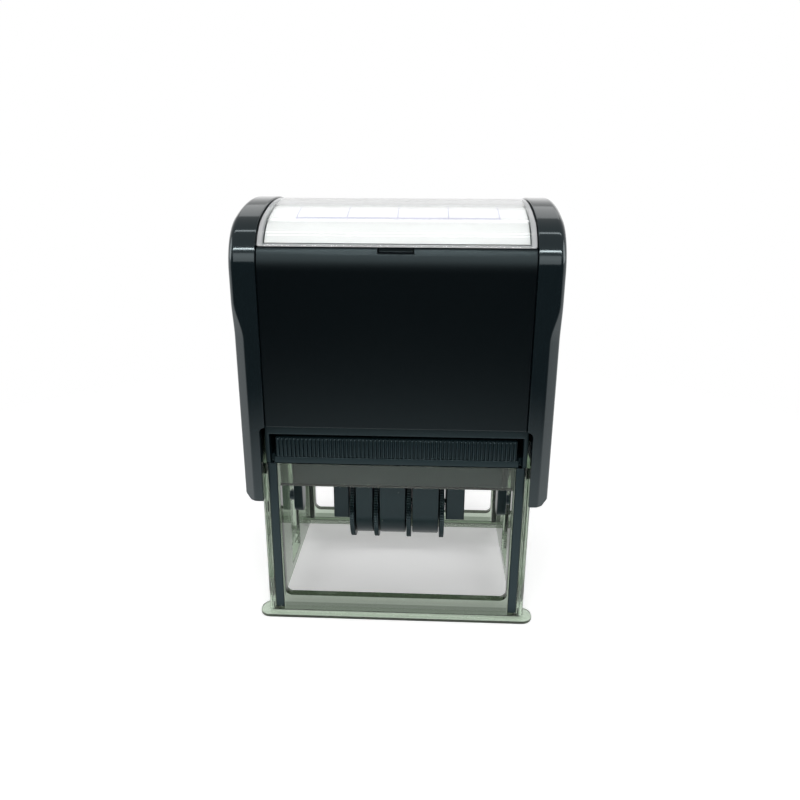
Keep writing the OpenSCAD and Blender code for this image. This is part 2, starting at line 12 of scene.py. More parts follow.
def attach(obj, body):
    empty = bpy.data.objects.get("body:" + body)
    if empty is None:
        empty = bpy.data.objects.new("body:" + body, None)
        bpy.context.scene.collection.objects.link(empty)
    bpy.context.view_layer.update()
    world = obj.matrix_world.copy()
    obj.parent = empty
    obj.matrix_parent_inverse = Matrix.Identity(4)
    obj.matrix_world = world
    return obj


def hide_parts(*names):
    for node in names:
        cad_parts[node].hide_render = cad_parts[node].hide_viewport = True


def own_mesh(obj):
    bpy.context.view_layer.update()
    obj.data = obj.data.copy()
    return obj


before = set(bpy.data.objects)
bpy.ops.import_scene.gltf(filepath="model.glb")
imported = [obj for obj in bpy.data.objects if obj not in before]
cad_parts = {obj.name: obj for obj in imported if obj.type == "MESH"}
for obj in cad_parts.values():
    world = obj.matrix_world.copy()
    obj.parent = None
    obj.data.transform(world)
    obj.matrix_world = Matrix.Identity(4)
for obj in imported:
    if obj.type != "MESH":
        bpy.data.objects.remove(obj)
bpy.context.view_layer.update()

LOG = logging.getLogger("date_stamp")
MM = 0.001
WELD = 1e-6
FIRST_BOUNCE = 0.5
CREASE = 30.0
SOFT_CREASE = 60.0
TEXT_SIZE_PER_DIGIT_HEIGHT = 1.38

Colour = tuple[float, float, float]
Point = tuple[float, float]
Spot = tuple[float, float, float]


class Side(Enum):
    """Which half of the stamp a mirrored piece sits on."""

    LEFT = -1
    RIGHT = 1


class Body(Enum):
    """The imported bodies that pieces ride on."""

    BASE = "base"
    CASSETTE = "cassette"
    HANDLE = "handle"
    WINDOW = "window"
    CARRIAGE = "carriage"


class Slot(Enum):
    """The record's material slots."""

    CLEAR_BASE = "clear_base"
    CLEAR_WINDOW = "clear_window"
    GLOSS = "gloss_black"
    SATIN = "satin_black"
    FRAME = "frame_black"
    CARD = "card"
    FELT = "felt"
    RUBBER = "rubber"
    STEEL = "steel"


# Node trees


class Graph:
    """A node tree with short calls for adding and joining nodes."""

    def __init__(self, tree: bpy.types.NodeTree) -> None:
        """Takes over a node tree."""
        self.tree = tree

    def add(self, kind: str, **settings: object) -> bpy.types.Node:
        """Adds a node.

        Args:
            kind: Blender's name of the node type.
            settings: attributes to set on the node.

        Returns:
            The new node.
        """
        node = self.tree.nodes.new(kind)
        for name, value in settings.items():
            setattr(node, name, value)
        return node

    def join(self, start: bpy.types.NodeSocket, end: bpy.types.NodeSocket) -> None:
        """Links an output to an input."""
        self.tree.links.new(start, end)

    def feed(self, socket: bpy.types.NodeSocket, value: object) -> None:
        """Links an output to an input, or sets the input to a plain value."""
        if isinstance(value, bpy.types.NodeSocket):
            self.join(value, socket)
        else:
            socket.default_value = value

    def value(self, node: bpy.types.Node, **inputs: object) -> bpy.types.Node:
        """Sets or links a node's inputs.

        Args:
            node: the node to set.
            inputs: the inputs by name; a socket is linked, anything else is a value.

        Returns:
            The same node.
        """
        for name, value in inputs.items():
            self.feed(node.inputs[name], value)
        return node

    def maths(self, operation: str, first: object, second: object = 0.0) -> bpy.types.NodeSocket:
        """Adds a Math node.

        Args:
            operation: the node's operation.
            first: a socket or a number.
            second: a socket or a number.

        Returns:
            The node's output.
        """
        node = self.add("ShaderNodeMath", operation=operation)
        for socket, value in zip(node.inputs, (first, second)):
            self.feed(socket, value)
        return node.outputs[0]

    def ramp(self, factor: bpy.types.NodeSocket, low: float, high: float) -> bpy.types.NodeSocket:
        """Maps a value smoothly to 0 below low and 1 above high."""
        node = self.add("ShaderNodeMapRange", interpolation_type="SMOOTHSTEP")
        node.inputs["From Min"].default_value = low
        node.inputs["From Max"].default_value = high
        self.join(factor, node.inputs["Value"])
        return node.outputs["Result"]

    def noise(self, place: bpy.types.NodeSocket, scale: object, detail: float) -> bpy.types.NodeSocket:
        """Adds a noise texture and returns its value."""
        node = self.add("ShaderNodeTexNoise")
        self.value(node, Vector=place, Scale=scale, Detail=detail)
        return node.outputs["Fac"]


class Effects:
    """Shader node groups that several finishes share."""

    grain_detail: float = 2.0
    patch_detail: float = 4.0
    speck_scale: float = 260.0
    speck_chance: float = 0.86
    speck_size: float = 0.045
    upward_range: Point = (0.2, 1.0)
    film_scale: float = 180.0
    film_detail: float = 5.0
    film_range: Point = (0.45, 0.8)

    def __init__(self) -> None:
        """Builds every group once."""
        self.grain = self._grain()
        self.dust = self._dust()

    @staticmethod
    def _group(name: str, inputs: dict[str, float], outputs: Sequence[str]) -> tuple[Graph, dict, dict]:
        """Makes an empty group.

        Args:
            name: the group's name.
            inputs: named number inputs with their defaults.
            outputs: named number outputs.

        Returns:
            The group's graph, its input sockets and its output sockets.
        """
        tree = bpy.data.node_groups.new(name, "ShaderNodeTree")
        for label, default in inputs.items():
            socket = tree.interface.new_socket(label, in_out="INPUT", socket_type="NodeSocketFloat")
            socket.default_value = default
        for label in outputs:
            tree.interface.new_socket(label, in_out="OUTPUT", socket_type="NodeSocketFloat")
        graph = Graph(tree)
        start = graph.add("NodeGroupInput")
        end = graph.add("NodeGroupOutput")
        return graph, start.outputs, end.inputs

    def _grain(self) -> bpy.types.NodeTree:
        """Moulded surface grain: a fine height, and slow patches that shift colour and roughness."""
        inputs = {"Scale": 4000.0, "Patch": 60.0}
        graph, start, end = self._group("moulded_grain", inputs, ("Height", "Patch"))
        place = graph.add("ShaderNodeTexCoord").outputs["Object"]
        graph.join(graph.noise(place, start["Scale"], self.grain_detail), end["Height"])
        graph.join(graph.noise(place, start["Patch"], self.patch_detail), end["Patch"])
        return graph.tree

    def _dust(self) -> bpy.types.NodeTree:
        """Sparse specks all over, and a thin film on faces that look up."""
        graph, start, end = self._group("settled_dust", {"Specks": 0.5, "Film": 0.1}, ("Mask",))
        place = graph.add("ShaderNodeTexCoord").outputs["Object"]
        cells = graph.add("ShaderNodeTexVoronoi")
        graph.value(cells, Vector=place, Scale=self.speck_scale)
        chance = graph.add("ShaderNodeSeparateColor")
        graph.join(cells.outputs["Color"], chance.inputs[0])
        picked = graph.maths("GREATER_THAN", chance.outputs[0], self.speck_chance)
        size = graph.maths("MULTIPLY", chance.outputs[1], self.speck_size)
        dot = graph.maths("LESS_THAN", cells.outputs["Distance"], size)
        specks = graph.maths("MULTIPLY", graph.maths("MULTIPLY", dot, picked), start["Specks"])
        normal = graph.add("ShaderNodeSeparateXYZ")
        graph.join(graph.add("ShaderNodeNewGeometry").outputs["Normal"], normal.inputs[0])
        upward = graph.ramp(normal.outputs["Z"], *self.upward_range)
        cloud = graph.ramp(graph.noise(place, self.film_scale, self.film_detail), *self.film_range)
        film = graph.maths("MULTIPLY", graph.maths("MULTIPLY", upward, cloud), start["Film"])
        graph.join(graph.maths("MAXIMUM", specks, film), end["Mask"])
        return graph.tree


# Finishes


@dataclass(frozen=True)
class Finish:
    """A material's plain values; each kind of finish adds its own nodes."""

    name: str
    colour: Colour
    roughness: float

    def build(self, effects: Effects) -> bpy.types.Material:
        """Builds the material.

        Args:
            effects: the shared node groups.

        Returns:
            The finished material.
        """
        material = bpy.data.materials.new(self.name)
        material.use_nodes = True
        material.node_tree.nodes.clear()
        graph = Graph(material.node_tree)
        shader = graph.add("ShaderNodeBsdfPrincipled")
        shader.inputs["Base Color"].default_value = (*self.colour, 1.0)
        shader.inputs["Roughness"].default_value = self.roughness
        out = graph.add("ShaderNodeOutputMaterial")
        graph.join(shader.outputs[0], out.inputs["Surface"])
        self.dress(graph, shader, out, effects)
        return material

    def dress(self, graph: Graph, shader: bpy.types.Node, out: bpy.types.Node, effects: Effects) -> None:
        """Adds the nodes of this kind of finish."""
        raise NotImplementedError

    @staticmethod
    def group(graph: Graph, tree: bpy.types.NodeTree, **inputs: float) -> bpy.types.Node:
        """Places a shared group with its own values."""
        node = graph.add("ShaderNodeGroup", node_tree=tree)
        return graph.value(node, **inputs)

    @staticmethod
    def tint(graph: Graph, mask: bpy.types.NodeSocket, under: object, over: Colour) -> bpy.types.NodeSocket:
        """Mixes a colour over another where a mask is set.

        Args:
            graph: the material's graph.
            mask: how much of the upper colour shows.
            under: the lower colour, or its socket.
            over: the upper colour.

        Returns:
            The mixed colour's socket.
        """
        mix = graph.add("ShaderNodeMix", data_type="RGBA")
        graph.join(mask, mix.inputs["Factor"])
        graph.feed(mix.inputs[6], under if isinstance(under, bpy.types.NodeSocket) else (*under, 1.0))
        mix.inputs[7].default_value = (*over, 1.0)
        return mix.outputs[2]

    @staticmethod
    def bump(graph: Graph, shader: bpy.types.Node, height: bpy.types.NodeSocket, depth_mm: float) -> None:
        """Feeds a height through a Bump node into the shader's normal."""
        node = graph.add("ShaderNodeBump")
        node.inputs["Distance"].default_value = depth_mm * MM
        graph.join(height, node.inputs["Height"])
        graph.join(node.outputs[0], shader.inputs["Normal"])


@dataclass(frozen=True)
class Plastic(Finish):
    """Moulded black plastic with grain and a little dust."""

    lighter: Colour = (0.06, 0.065, 0.068)
    grain_scale: float = 4000.0
    grain_mm: float = 0.01
    spread: float = 0.1
    specks: float = 0.3
    film: float = 0.03
    patchiness: float = 0.25
    dulling: float = 0.5
    coat: float = 0.0
    coat_roughness: float = 0.06
    specular: float = 0.45
    sheen: Colour = (0.74, 0.95, 1.0)
    dust: Colour = (0.5, 0.5, 0.48)

    def dress(self, graph: Graph, shader: bpy.types.Node, out: bpy.types.Node, effects: Effects) -> None:
        """Adds patchy colour, uneven gloss, dust and grain."""
        grain = self.group(graph, effects.grain, Scale=self.grain_scale)
        dusty = self.group(graph, effects.dust, Specks=self.specks, Film=self.film)
        patch = graph.maths("MULTIPLY", grain.outputs["Patch"], self.patchiness)
        tone = self.tint(graph, patch, self.colour, self.lighter)
        graph.join(self.tint(graph, dusty.outputs["Mask"], tone, self.dust), shader.inputs["Base Color"])
        low = graph.maths("MULTIPLY", grain.outputs["Patch"], self.spread)
        rough = graph.maths("ADD", low, self.roughness - self.spread / 2)
        dulled = graph.maths("MULTIPLY", dusty.outputs["Mask"], self.dulling)
        graph.join(graph.maths("ADD", rough, dulled), shader.inputs["Roughness"])
        shader.inputs["Specular IOR Level"].default_value = self.specular
        shader.inputs["Specular Tint"].default_value = (*self.sheen, 1.0)
        shader.inputs["Coat Weight"].default_value = self.coat
        shader.inputs["Coat Roughness"].default_value = self.coat_roughness
        self.bump(graph, shader, grain.outputs["Height"], self.grain_mm)


@dataclass(frozen=True)
class Clear(Finish):
    """Clear moulded plastic that darkens where it is looked at edge on."""

    inside: Colour = (0.6, 0.75, 0.58)
    density: float = 60.0
    ripple_mm: float = 0.004
    ripple_scale: float = 420.0
    haze_scale: float = 45.0
    haze: float = 0.06
    polish: float = 0.02
    clearness: float = 0.95
    ior: float = 1.49
    transmission: float = 1.0

    def dress(self, graph: Graph, shader: bpy.types.Node, out: bpy.types.Node, effects: Effects) -> None:
        """Adds the tinted inside, the uneven skin and the light that lamps send through."""
        grain = self.group(graph, effects.grain, Scale=self.ripple_scale, Patch=self.haze_scale)
        low = graph.maths("MULTIPLY", grain.outputs["Patch"], self.haze)
        graph.join(graph.maths("ADD", low, self.roughness - self.polish), shader.inputs["Roughness"])
        self.bump(graph, shader, grain.outputs["Height"], self.ripple_mm)
        shader.inputs["Transmission Weight"].default_value = self.transmission
        shader.inputs["IOR"].default_value = self.ior
        path = graph.add("ShaderNodeLightPath")
        film = graph.add("ShaderNodeBsdfTransparent")
        film.inputs["Color"].default_value = (*(self.clearness * c for c in self.colour), 1.0)
        choice = graph.add("ShaderNodeMixShader")
        graph.join(path.outputs["Is Shadow Ray"], choice.inputs[0])
        graph.join(shader.outputs[0], choice.inputs[1])
        graph.join(film.outputs[0], choice.inputs[2])
        graph.join(choice.outputs[0], out.inputs["Surface"])
        soak = graph.add("ShaderNodeVolumeAbsorption")
        soak.inputs["Color"].default_value = (*self.inside, 1.0)
        soak.inputs["Density"].default_value = self.density
        graph.join(soak.outputs[0], out.inputs["Volume"])


@dataclass(frozen=True)
class Paper(Finish):
    """White card with faint fibres and thin ruled lines."""

    line: Colour = (0.2, 0.18, 0.45)
    line_w: float = 0.24
    line_strength: float = 0.75
    columns: Sequence[float] = (-22.0, -11.0, 0.0, 11.0, 22.0)
    rows: Sequence[float] = (-17.0, 0.0, 17.0)
    fibre_scale: float = 2200.0
    shade_scale: float = 90.0
    shade: float = 0.97
    tooth_mm: float = 0.004

    def dress(self, graph: Graph, shader: bpy.types.Node, out: bpy.types.Node, effects: Effects) -> None:
        """Adds the ruled field and the paper's tooth."""
        grain = self.group(graph, effects.grain, Scale=self.fibre_scale, Patch=self.shade_scale)
        place = graph.add("ShaderNodeTexCoord").outputs["Object"]
        split = graph.add("ShaderNodeSeparateXYZ")
        graph.join(place, split.inputs[0])
        x, y = split.outputs["X"], split.outputs["Y"]
        within_x, within_y = (
            graph.maths("LESS_THAN", graph.maths("ABSOLUTE", axis), (places[-1] + self.line_w) * MM)
            for axis, places in ((x, self.columns), (y, self.rows)))
        inside = graph.maths("MULTIPLY", within_x, within_y)
        mask, *others = [self._line(graph, x, at) for at in self.columns]
        for other in others + [self._line(graph, y, at) for at in self.rows]:
            mask = graph.maths("MAXIMUM", mask, other)
        mask = graph.maths("MULTIPLY", graph.maths("MULTIPLY", mask, inside), self.line_strength)
        shaded = tuple(c * self.shade for c in self.colour)
        tone = self.tint(graph, grain.outputs["Patch"], self.colour, shaded)
        graph.join(self.tint(graph, mask, tone, self.line), shader.inputs["Base Color"])
        self.bump(graph, shader, grain.outputs["Height"], self.tooth_mm)

    def _line(self, graph: Graph, axis: bpy.types.NodeSocket, at: float) -> bpy.types.NodeSocket:
        """Marks a thin line at one place along an axis."""
        off = graph.maths("ABSOLUTE", graph.maths("SUBTRACT", axis, at * MM))
        return graph.maths("LESS_THAN", off, self.line_w / 2 * MM)


@dataclass(frozen=True)
class Fibre(Finish):
    """Ink-soaked felt with a short tangled nap."""

    wet: Colour = (0.015, 0.012, 0.05)
    wet_scale: float = 140.0
    wet_range: Point = (0.35, 0.65)
    wet_gloss: float = 0.25
    nap_scale: float = 1500.0
    nap_mm: float = 0.12
    fuzz: float = 0.3

    def dress(self, graph: Graph, shader: bpy.types.Node, out: bpy.types.Node, effects: Effects) -> None:
        """Adds fibres and wetter patches."""
        grain = self.group(graph, effects.grain, Scale=self.nap_scale, Patch=self.wet_scale)
        wet = graph.ramp(grain.outputs["Patch"], *self.wet_range)
        graph.join(self.tint(graph, wet, self.colour, self.wet), shader.inputs["Base Color"])
        gloss = graph.maths("MULTIPLY", wet, -self.wet_gloss)
        graph.join(graph.maths("ADD", gloss, self.roughness), shader.inputs["Roughness"])
        shader.inputs["Sheen Weight"].default_value = self.fuzz
        self.bump(graph, shader, grain.outputs["Height"], self.nap_mm)


@dataclass(frozen=True)
class Rubber(Finish):
    """Dull stamp rubber, stained by ink on its raised parts."""

    ink: Colour = (0.03, 0.022, 0.06)
    dust: Colour = (0.4, 0.38, 0.36)
    specks: float = 0.3
    stain_scale: float = 220.0
    stain_range: Point = (0.3, 0.7)
    stain_gloss: float = 0.15
    tooth_scale: float = 2600.0
    tooth_mm: float = 0.02

    def dress(self, graph: Graph, shader: bpy.types.Node, out: bpy.types.Node, effects: Effects) -> None:
        """Adds the ink stain, dust and tooth."""
        grain = self.group(graph, effects.grain, Scale=self.tooth_scale, Patch=self.stain_scale)
        dusty = self.group(graph, effects.dust, Specks=self.specks, Film=0.0)
        stain = graph.ramp(grain.outputs["Patch"], *self.stain_range)
        stained = self.tint(graph, stain, self.colour, self.ink)
        graph.join(self.tint(graph, dusty.outputs["Mask"], stained, self.dust), shader.inputs["Base Color"])
        low = graph.maths("MULTIPLY", stain, -self.stain_gloss)
        graph.join(graph.maths("ADD", low, self.roughness), shader.inputs["Roughness"])
        self.bump(graph, shader, grain.outputs["Height"], self.tooth_mm)


@dataclass(frozen=True)
class Steel(Finish):
    """Drawn steel with fine lines and slight tarnish."""

    tarnish: Colour = (0.32, 0.3, 0.27)
    spot_scale: float = 260.0
    spot_range: Point = (0.5, 0.75)
    spot_dulling: float = 0.2
    line_scale: float = 3200.0
    line_mm: float = 0.006

    def dress(self, graph: Graph, shader: bpy.types.Node, out: bpy.types.Node, effects: Effects) -> None:
        """Adds tarnish and drawn lines."""
        grain = self.group(graph, effects.grain, Scale=self.line_scale, Patch=self.spot_scale)
        spots = graph.ramp(grain.outputs["Patch"], *self.spot_range)
        graph.join(self.tint(graph, spots, self.colour, self.tarnish), shader.inputs["Base Color"])
        low = graph.maths("MULTIPLY", spots, self.spot_dulling)
        graph.join(graph.maths("ADD", low, self.roughness), shader.inputs["Roughness"])
        shader.inputs["Metallic"].default_value = 1.0
        self.bump(graph, shader, grain.outputs["Height"], self.line_mm)


class Palette:
    """Every finish of the stamp, built once and handed out by slot."""

    def __init__(self, effects: Effects) -> None:
        """Builds the finishes."""
        sage = {"inside": (0.5, 0.58, 0.495), "density": 40.0, "ripple_mm": 0.0003}
        finishes: dict[str, Finish] = {
            "clear_base": Clear("sage_clear_plastic", (0.52, 0.6, 0.505), 0.03, **sage),
            # The next two clear finishes are the same plastic with painted shade: darker colours for faces
            # that lie in shade, not a different plastic.
            "clear_shaded_inside": Clear("sage_clear_painted_shade", (0.28, 0.345, 0.27), 0.03, **sage),
            "clear_shaded_edge": Clear("sage_clear_painted_edge_shade", (0.02, 0.035, 0.016), 0.06, **sage),
            "clear_window": Clear("water_clear_plastic", (0.97, 0.98, 0.98), 0.025,
                                  inside=(0.8, 0.85, 0.83), density=12.0),
            "window_rim": Clear("frosted_rim", (0.86, 0.87, 0.88), 0.1, inside=(0.7, 0.75, 0.73),
                                density=40.0, ripple_mm=0.003, transmission=0.4),
            "gloss_black": Plastic("gloss_black", (0.007, 0.013, 0.016), 0.1,
                                   lighter=(0.0105, 0.017, 0.02), grain_scale=900.0, grain_mm=0.001,
                                   spread=0.04, specks=0.2, film=0.0, coat=0.45),
            "satin_black": Plastic("satin_black", (0.0002, 0.0014, 0.0026), 0.3,
                                   lighter=(0.0008, 0.002, 0.0032), grain_scale=3600.0, grain_mm=0.001,
                                   spread=0.02, specks=0.4, film=0.0),
            "frame_black": Plastic("frame_black", (0.007, 0.0165, 0.02), 0.32,
                                   lighter=(0.01, 0.021, 0.025), grain_scale=2600.0, grain_mm=0.003,
                                   spread=0.05, specks=0.25, film=0.004),
            "card": Paper("white_card", (0.92, 0.92, 0.91), 0.65),
            "felt": Fibre("inked_felt", (0.045, 0.035, 0.11), 0.85),
            "rubber": Rubber("stamp_rubber", (0.09, 0.07, 0.075), 0.62),
            "steel": Steel("drawn_steel", (0.56, 0.56, 0.57), 0.26),
        }
        self.materials = {name: finish.build(effects) for name, finish in finishes.items()}

    def pick(self, name: str) -> bpy.types.Material:
        """Returns a finish by its name."""
        return self.materials[name]


# Mesh making


def make_piece(name: str, points: Iterable[Spot], faces: Iterable[Sequence[int]]) -> bpy.types.Object:
    """Makes an object from points in millimetres.

    Args:
        name: the piece's name.
        points: its vertices.
        faces: its faces, as vertex numbers.

    Returns:
        The new object, linked to the scene.
    """
    mesh = bpy.data.meshes.new(name)
    mesh.from_pydata([tuple(c * MM for c in p) for p in points], [], [tuple(f) for f in faces])
    mesh.validate()
    piece = bpy.data.objects.new(name, mesh)
    bpy.context.scene.collection.objects.link(piece)
    with_bmesh(piece, lambda bm: bmesh.ops.recalc_face_normals(bm, faces=bm.faces))
    return piece


def with_bmesh(piece: bpy.types.Object, work: Callable[[bmesh.types.BMesh], object]) -> None:
    """Lets a function edit a piece's mesh."""
    bm = bmesh.new()
    bm.from_mesh(piece.data)
    work(bm)
    bm.to_mesh(piece.data)
    bm.free()
    piece.data.update()


def loft(name: str, rings: Sequence[Sequence[Spot]], closed: bool = False) -> bpy.types.Object:
    """Joins rings of equal length into a closed solid.

    Args:
        name: the piece's name.
        rings: loops of points, in order.
        closed: whether the last ring joins the first; otherwise both ends are capped.

    Returns:
        The solid.
    """
    count = len(rings[0])
    points = [p for ring in rings for p in ring]
    faces: list[Sequence[int]] = []
    spans = len(rings) if closed else len(rings) - 1
    for i in range(spans):
        low, high = i * count, ((i + 1) % len(rings)) * count
        for j in range(count):
            k = (j + 1) % count
            faces.append((low + j, low + k, high + k, high + j))
    if not closed:
        faces.append(tuple(range(count - 1, -1, -1)))
        faces.append(tuple((len(rings) - 1) * count + j for j in range(count)))
    return make_piece(name, points, faces)


def prism_x(name: str, outline: Sequence[Point], x0: float, x1: float) -> bpy.types.Object:
    """Stretches a YZ outline along X."""
    return loft(name, [[(x, y, z) for y, z in outline] for x in (x0, x1)])


def prism_y(name: str, outline: Sequence[Point], y0: float, y1: float) -> bpy.types.Object:
    """Stretches an XZ outline along Y."""
    return loft(name, [[(x, y, z) for x, z in outline] for y in (y0, y1)])


def box(name: str, low: Spot, high: Spot) -> bpy.types.Object:
    """Makes a box between two corners, for booleans and for softening."""
    outline = [(low[0], low[1]), (high[0], low[1]), (high[0], high[1]), (low[0], high[1])]
    return loft(name, [[(x, y, z) for x, y in outline] for z in (low[2], high[2])])


def settle(piece: bpy.types.Object) -> None:
    """Applies a piece's modifiers to its mesh."""
    graph = bpy.context.evaluated_depsgraph_get()
    mesh = bpy.data.meshes.new_from_object(piece.evaluated_get(graph))
    old = piece.data
    piece.modifiers.clear()
    piece.data = mesh
    mesh.name = piece.name
    bpy.data.meshes.remove(old)


def combine(piece: bpy.types.Object, tool: bpy.types.Object, operation: str) -> None:
    """Cuts or joins a piece with a tool, which is used up.

    Args:
        piece: the piece to change.
        tool: the other solid.
        operation: DIFFERENCE, UNION or INTERSECT.
    """
    modifier = piece.modifiers.new("combine", "BOOLEAN")
    modifier.operation = operation
    modifier.solver = "EXACT"
    modifier.object = tool
    settle(piece)
    bpy.data.objects.remove(tool)


def tidy(piece: bpy.types.Object, flat: float = 0.4) -> None:
    """Welds a piece's vertices and merges the flat faces that lie side by side."""

    def work(bm: bmesh.types.BMesh) -> None:
        """Welds, merges and faces outward."""
        bmesh.ops.remove_doubles(bm, verts=bm.verts, dist=WELD)
        bmesh.ops.dissolve_degenerate(bm, dist=WELD, edges=bm.edges)
        bmesh.ops.dissolve_limit(bm, angle_limit=math.radians(flat), verts=bm.verts, edges=bm.edges)
        bmesh.ops.recalc_face_normals(bm, faces=bm.faces)

    with_bmesh(piece, work)


def soften(piece: bpy.types.Object, width: float, segments: int = 2, angle: float = 32.0) -> None:
    """Rounds a piece's sharp edges.

    Args:
        piece: the piece.
        width: how far the rounding reaches, in millimetres.
        segments: faces across the rounding.
        angle: edges that turn more than this are rounded, in degrees.
    """
    modifier = piece.modifiers.new("soften", "BEVEL")
    modifier.width = width * MM
    modifier.segments = segments
    modifier.limit_method = "ANGLE"
    modifier.angle_limit = math.radians(angle)
    modifier.use_clamp_overlap = False
    modifier.miter_outer = "MITER_SHARP"
    settle(piece)


def smooth(piece: bpy.types.Object, angle: float = CREASE) -> None:
    """Shades a piece smooth, with edges where it turns more than an angle and flat faces left flat."""
    piece.data.polygons.foreach_set("use_smooth", [True] * len(piece.data.polygons))
    piece.data.set_sharp_from_angle(angle=math.radians(angle))
    weighted = piece.modifiers.new("flat_faces", "WEIGHTED_NORMAL")
    weighted.keep_sharp = True
    weighted.weight = 100
    settle(piece)


def cut(bm: bmesh.types.BMesh, faces: Sequence[bmesh.types.BMFace], spot: Spot, normal: Spot) -> None:
    """Cuts faces along a plane.

    Args:
        bm: the mesh.
        faces: the faces to cut.
        spot: a point of the plane in millimetres.
        normal: the plane's direction.
    """
    near = [*faces, *(edge for face in faces for edge in face.edges)]
    near += [vert for face in faces for vert in face.verts]
    bmesh.ops.bisect_plane(bm, geom=list(dict.fromkeys(near)), plane_co=Vector(spot) * MM, plane_no=normal)


def copied(node: str, name: str) -> bpy.types.Object:
    """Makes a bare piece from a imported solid.

    Args:
        node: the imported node.
        name: the new piece's name.

    Returns:
        The new piece, welded and without materials.
    """
    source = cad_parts[node]
    piece = bpy.data.objects.new(name, source.data.copy())
    piece.data.materials.clear()
    bpy.context.scene.collection.objects.link(piece)
    tidy(piece)
    return piece


def moulded(node: str, name: str, width: float, segments: int = 2) -> bpy.types.Object:
    """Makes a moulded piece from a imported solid: the same shape with rounded edges.

    Args:
        node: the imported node.
        name: the new piece's name.
        width: reach of the rounding, in millimetres.
        segments: faces across the rounding.

    Returns:
        The new piece.
    """
    piece = copied(node, name)
    soften(piece, width, segments)
    smooth(piece)
    return piece


def numerals(name: str, text: str, height: float, depth: float) -> bpy.types.Object:
    """Makes raised mirrored numerals, lying flat and centred, as a solid.

    Args:
        name: the piece's name.
        text: the digits.
        height: their height in millimetres.
        depth: how far they stand up.

    Returns:
        The numerals as a mesh object.
    """
    curve = bpy.data.curves.new(name, "FONT")
    curve.body = text
    curve.size = height * TEXT_SIZE_PER_DIGIT_HEIGHT * MM
    curve.extrude = depth / 2 * MM
    curve.align_x = "CENTER"
    curve.align_y = "CENTER"
    holder = bpy.data.objects.new(name + "_curve", curve)
    bpy.context.scene.collection.objects.link(holder)
    mesh = bpy.data.meshes.new_from_object(holder.evaluated_get(bpy.context.evaluated_depsgraph_get()))
    bpy.data.objects.remove(holder)
    bpy.data.curves.remove(curve)
    mesh.transform(Matrix.Scale(-1.0, 4, (1.0, 0.0, 0.0)))
    mesh.name = name
    piece = bpy.data.objects.new(name, mesh)
    bpy.context.scene.collection.objects.link(piece)
    tidy(piece)
    return piece


def merge(name: str, pieces: Sequence[bpy.types.Object]) -> bpy.types.Object:
    """Puts the shells of several pieces into one.

    Args:
        name: the joined piece's name.
        pieces: pieces to join, which are used up.

    Returns:
        The joined piece.
    """
    bm = bmesh.new()
    for piece in pieces:
        bm.from_mesh(piece.data)
        bpy.data.objects.remove(piece)
    mesh = bpy.data.meshes.new(name)
    bm.to_mesh(mesh)
    bm.free()
    joined = bpy.data.objects.new(name, mesh)
    bpy.context.scene.collection.objects.link(joined)
    return joined


@dataclass
class Assembly:
    """A sub-assembly that finishes its pieces with one palette."""

    palette: Palette

    def place(self, piece: bpy.types.Object, body: Body | str, slot: Slot, node: str) -> None:
        """Gives a piece its finish, its body and the node it stands for.

        Args:
            piece: the piece.
            body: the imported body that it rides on.
            slot: the record's slot that its finish belongs to.
            node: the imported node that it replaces.
        """
        if not piece.data.materials:
            piece.data.materials.append(self.palette.pick(slot.value))
        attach(piece, body.value if isinstance(body, Body) else body)
        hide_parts(node)
        LOG.info("%s: %d faces, stands for %s", piece.name, len(piece.data.polygons), node)


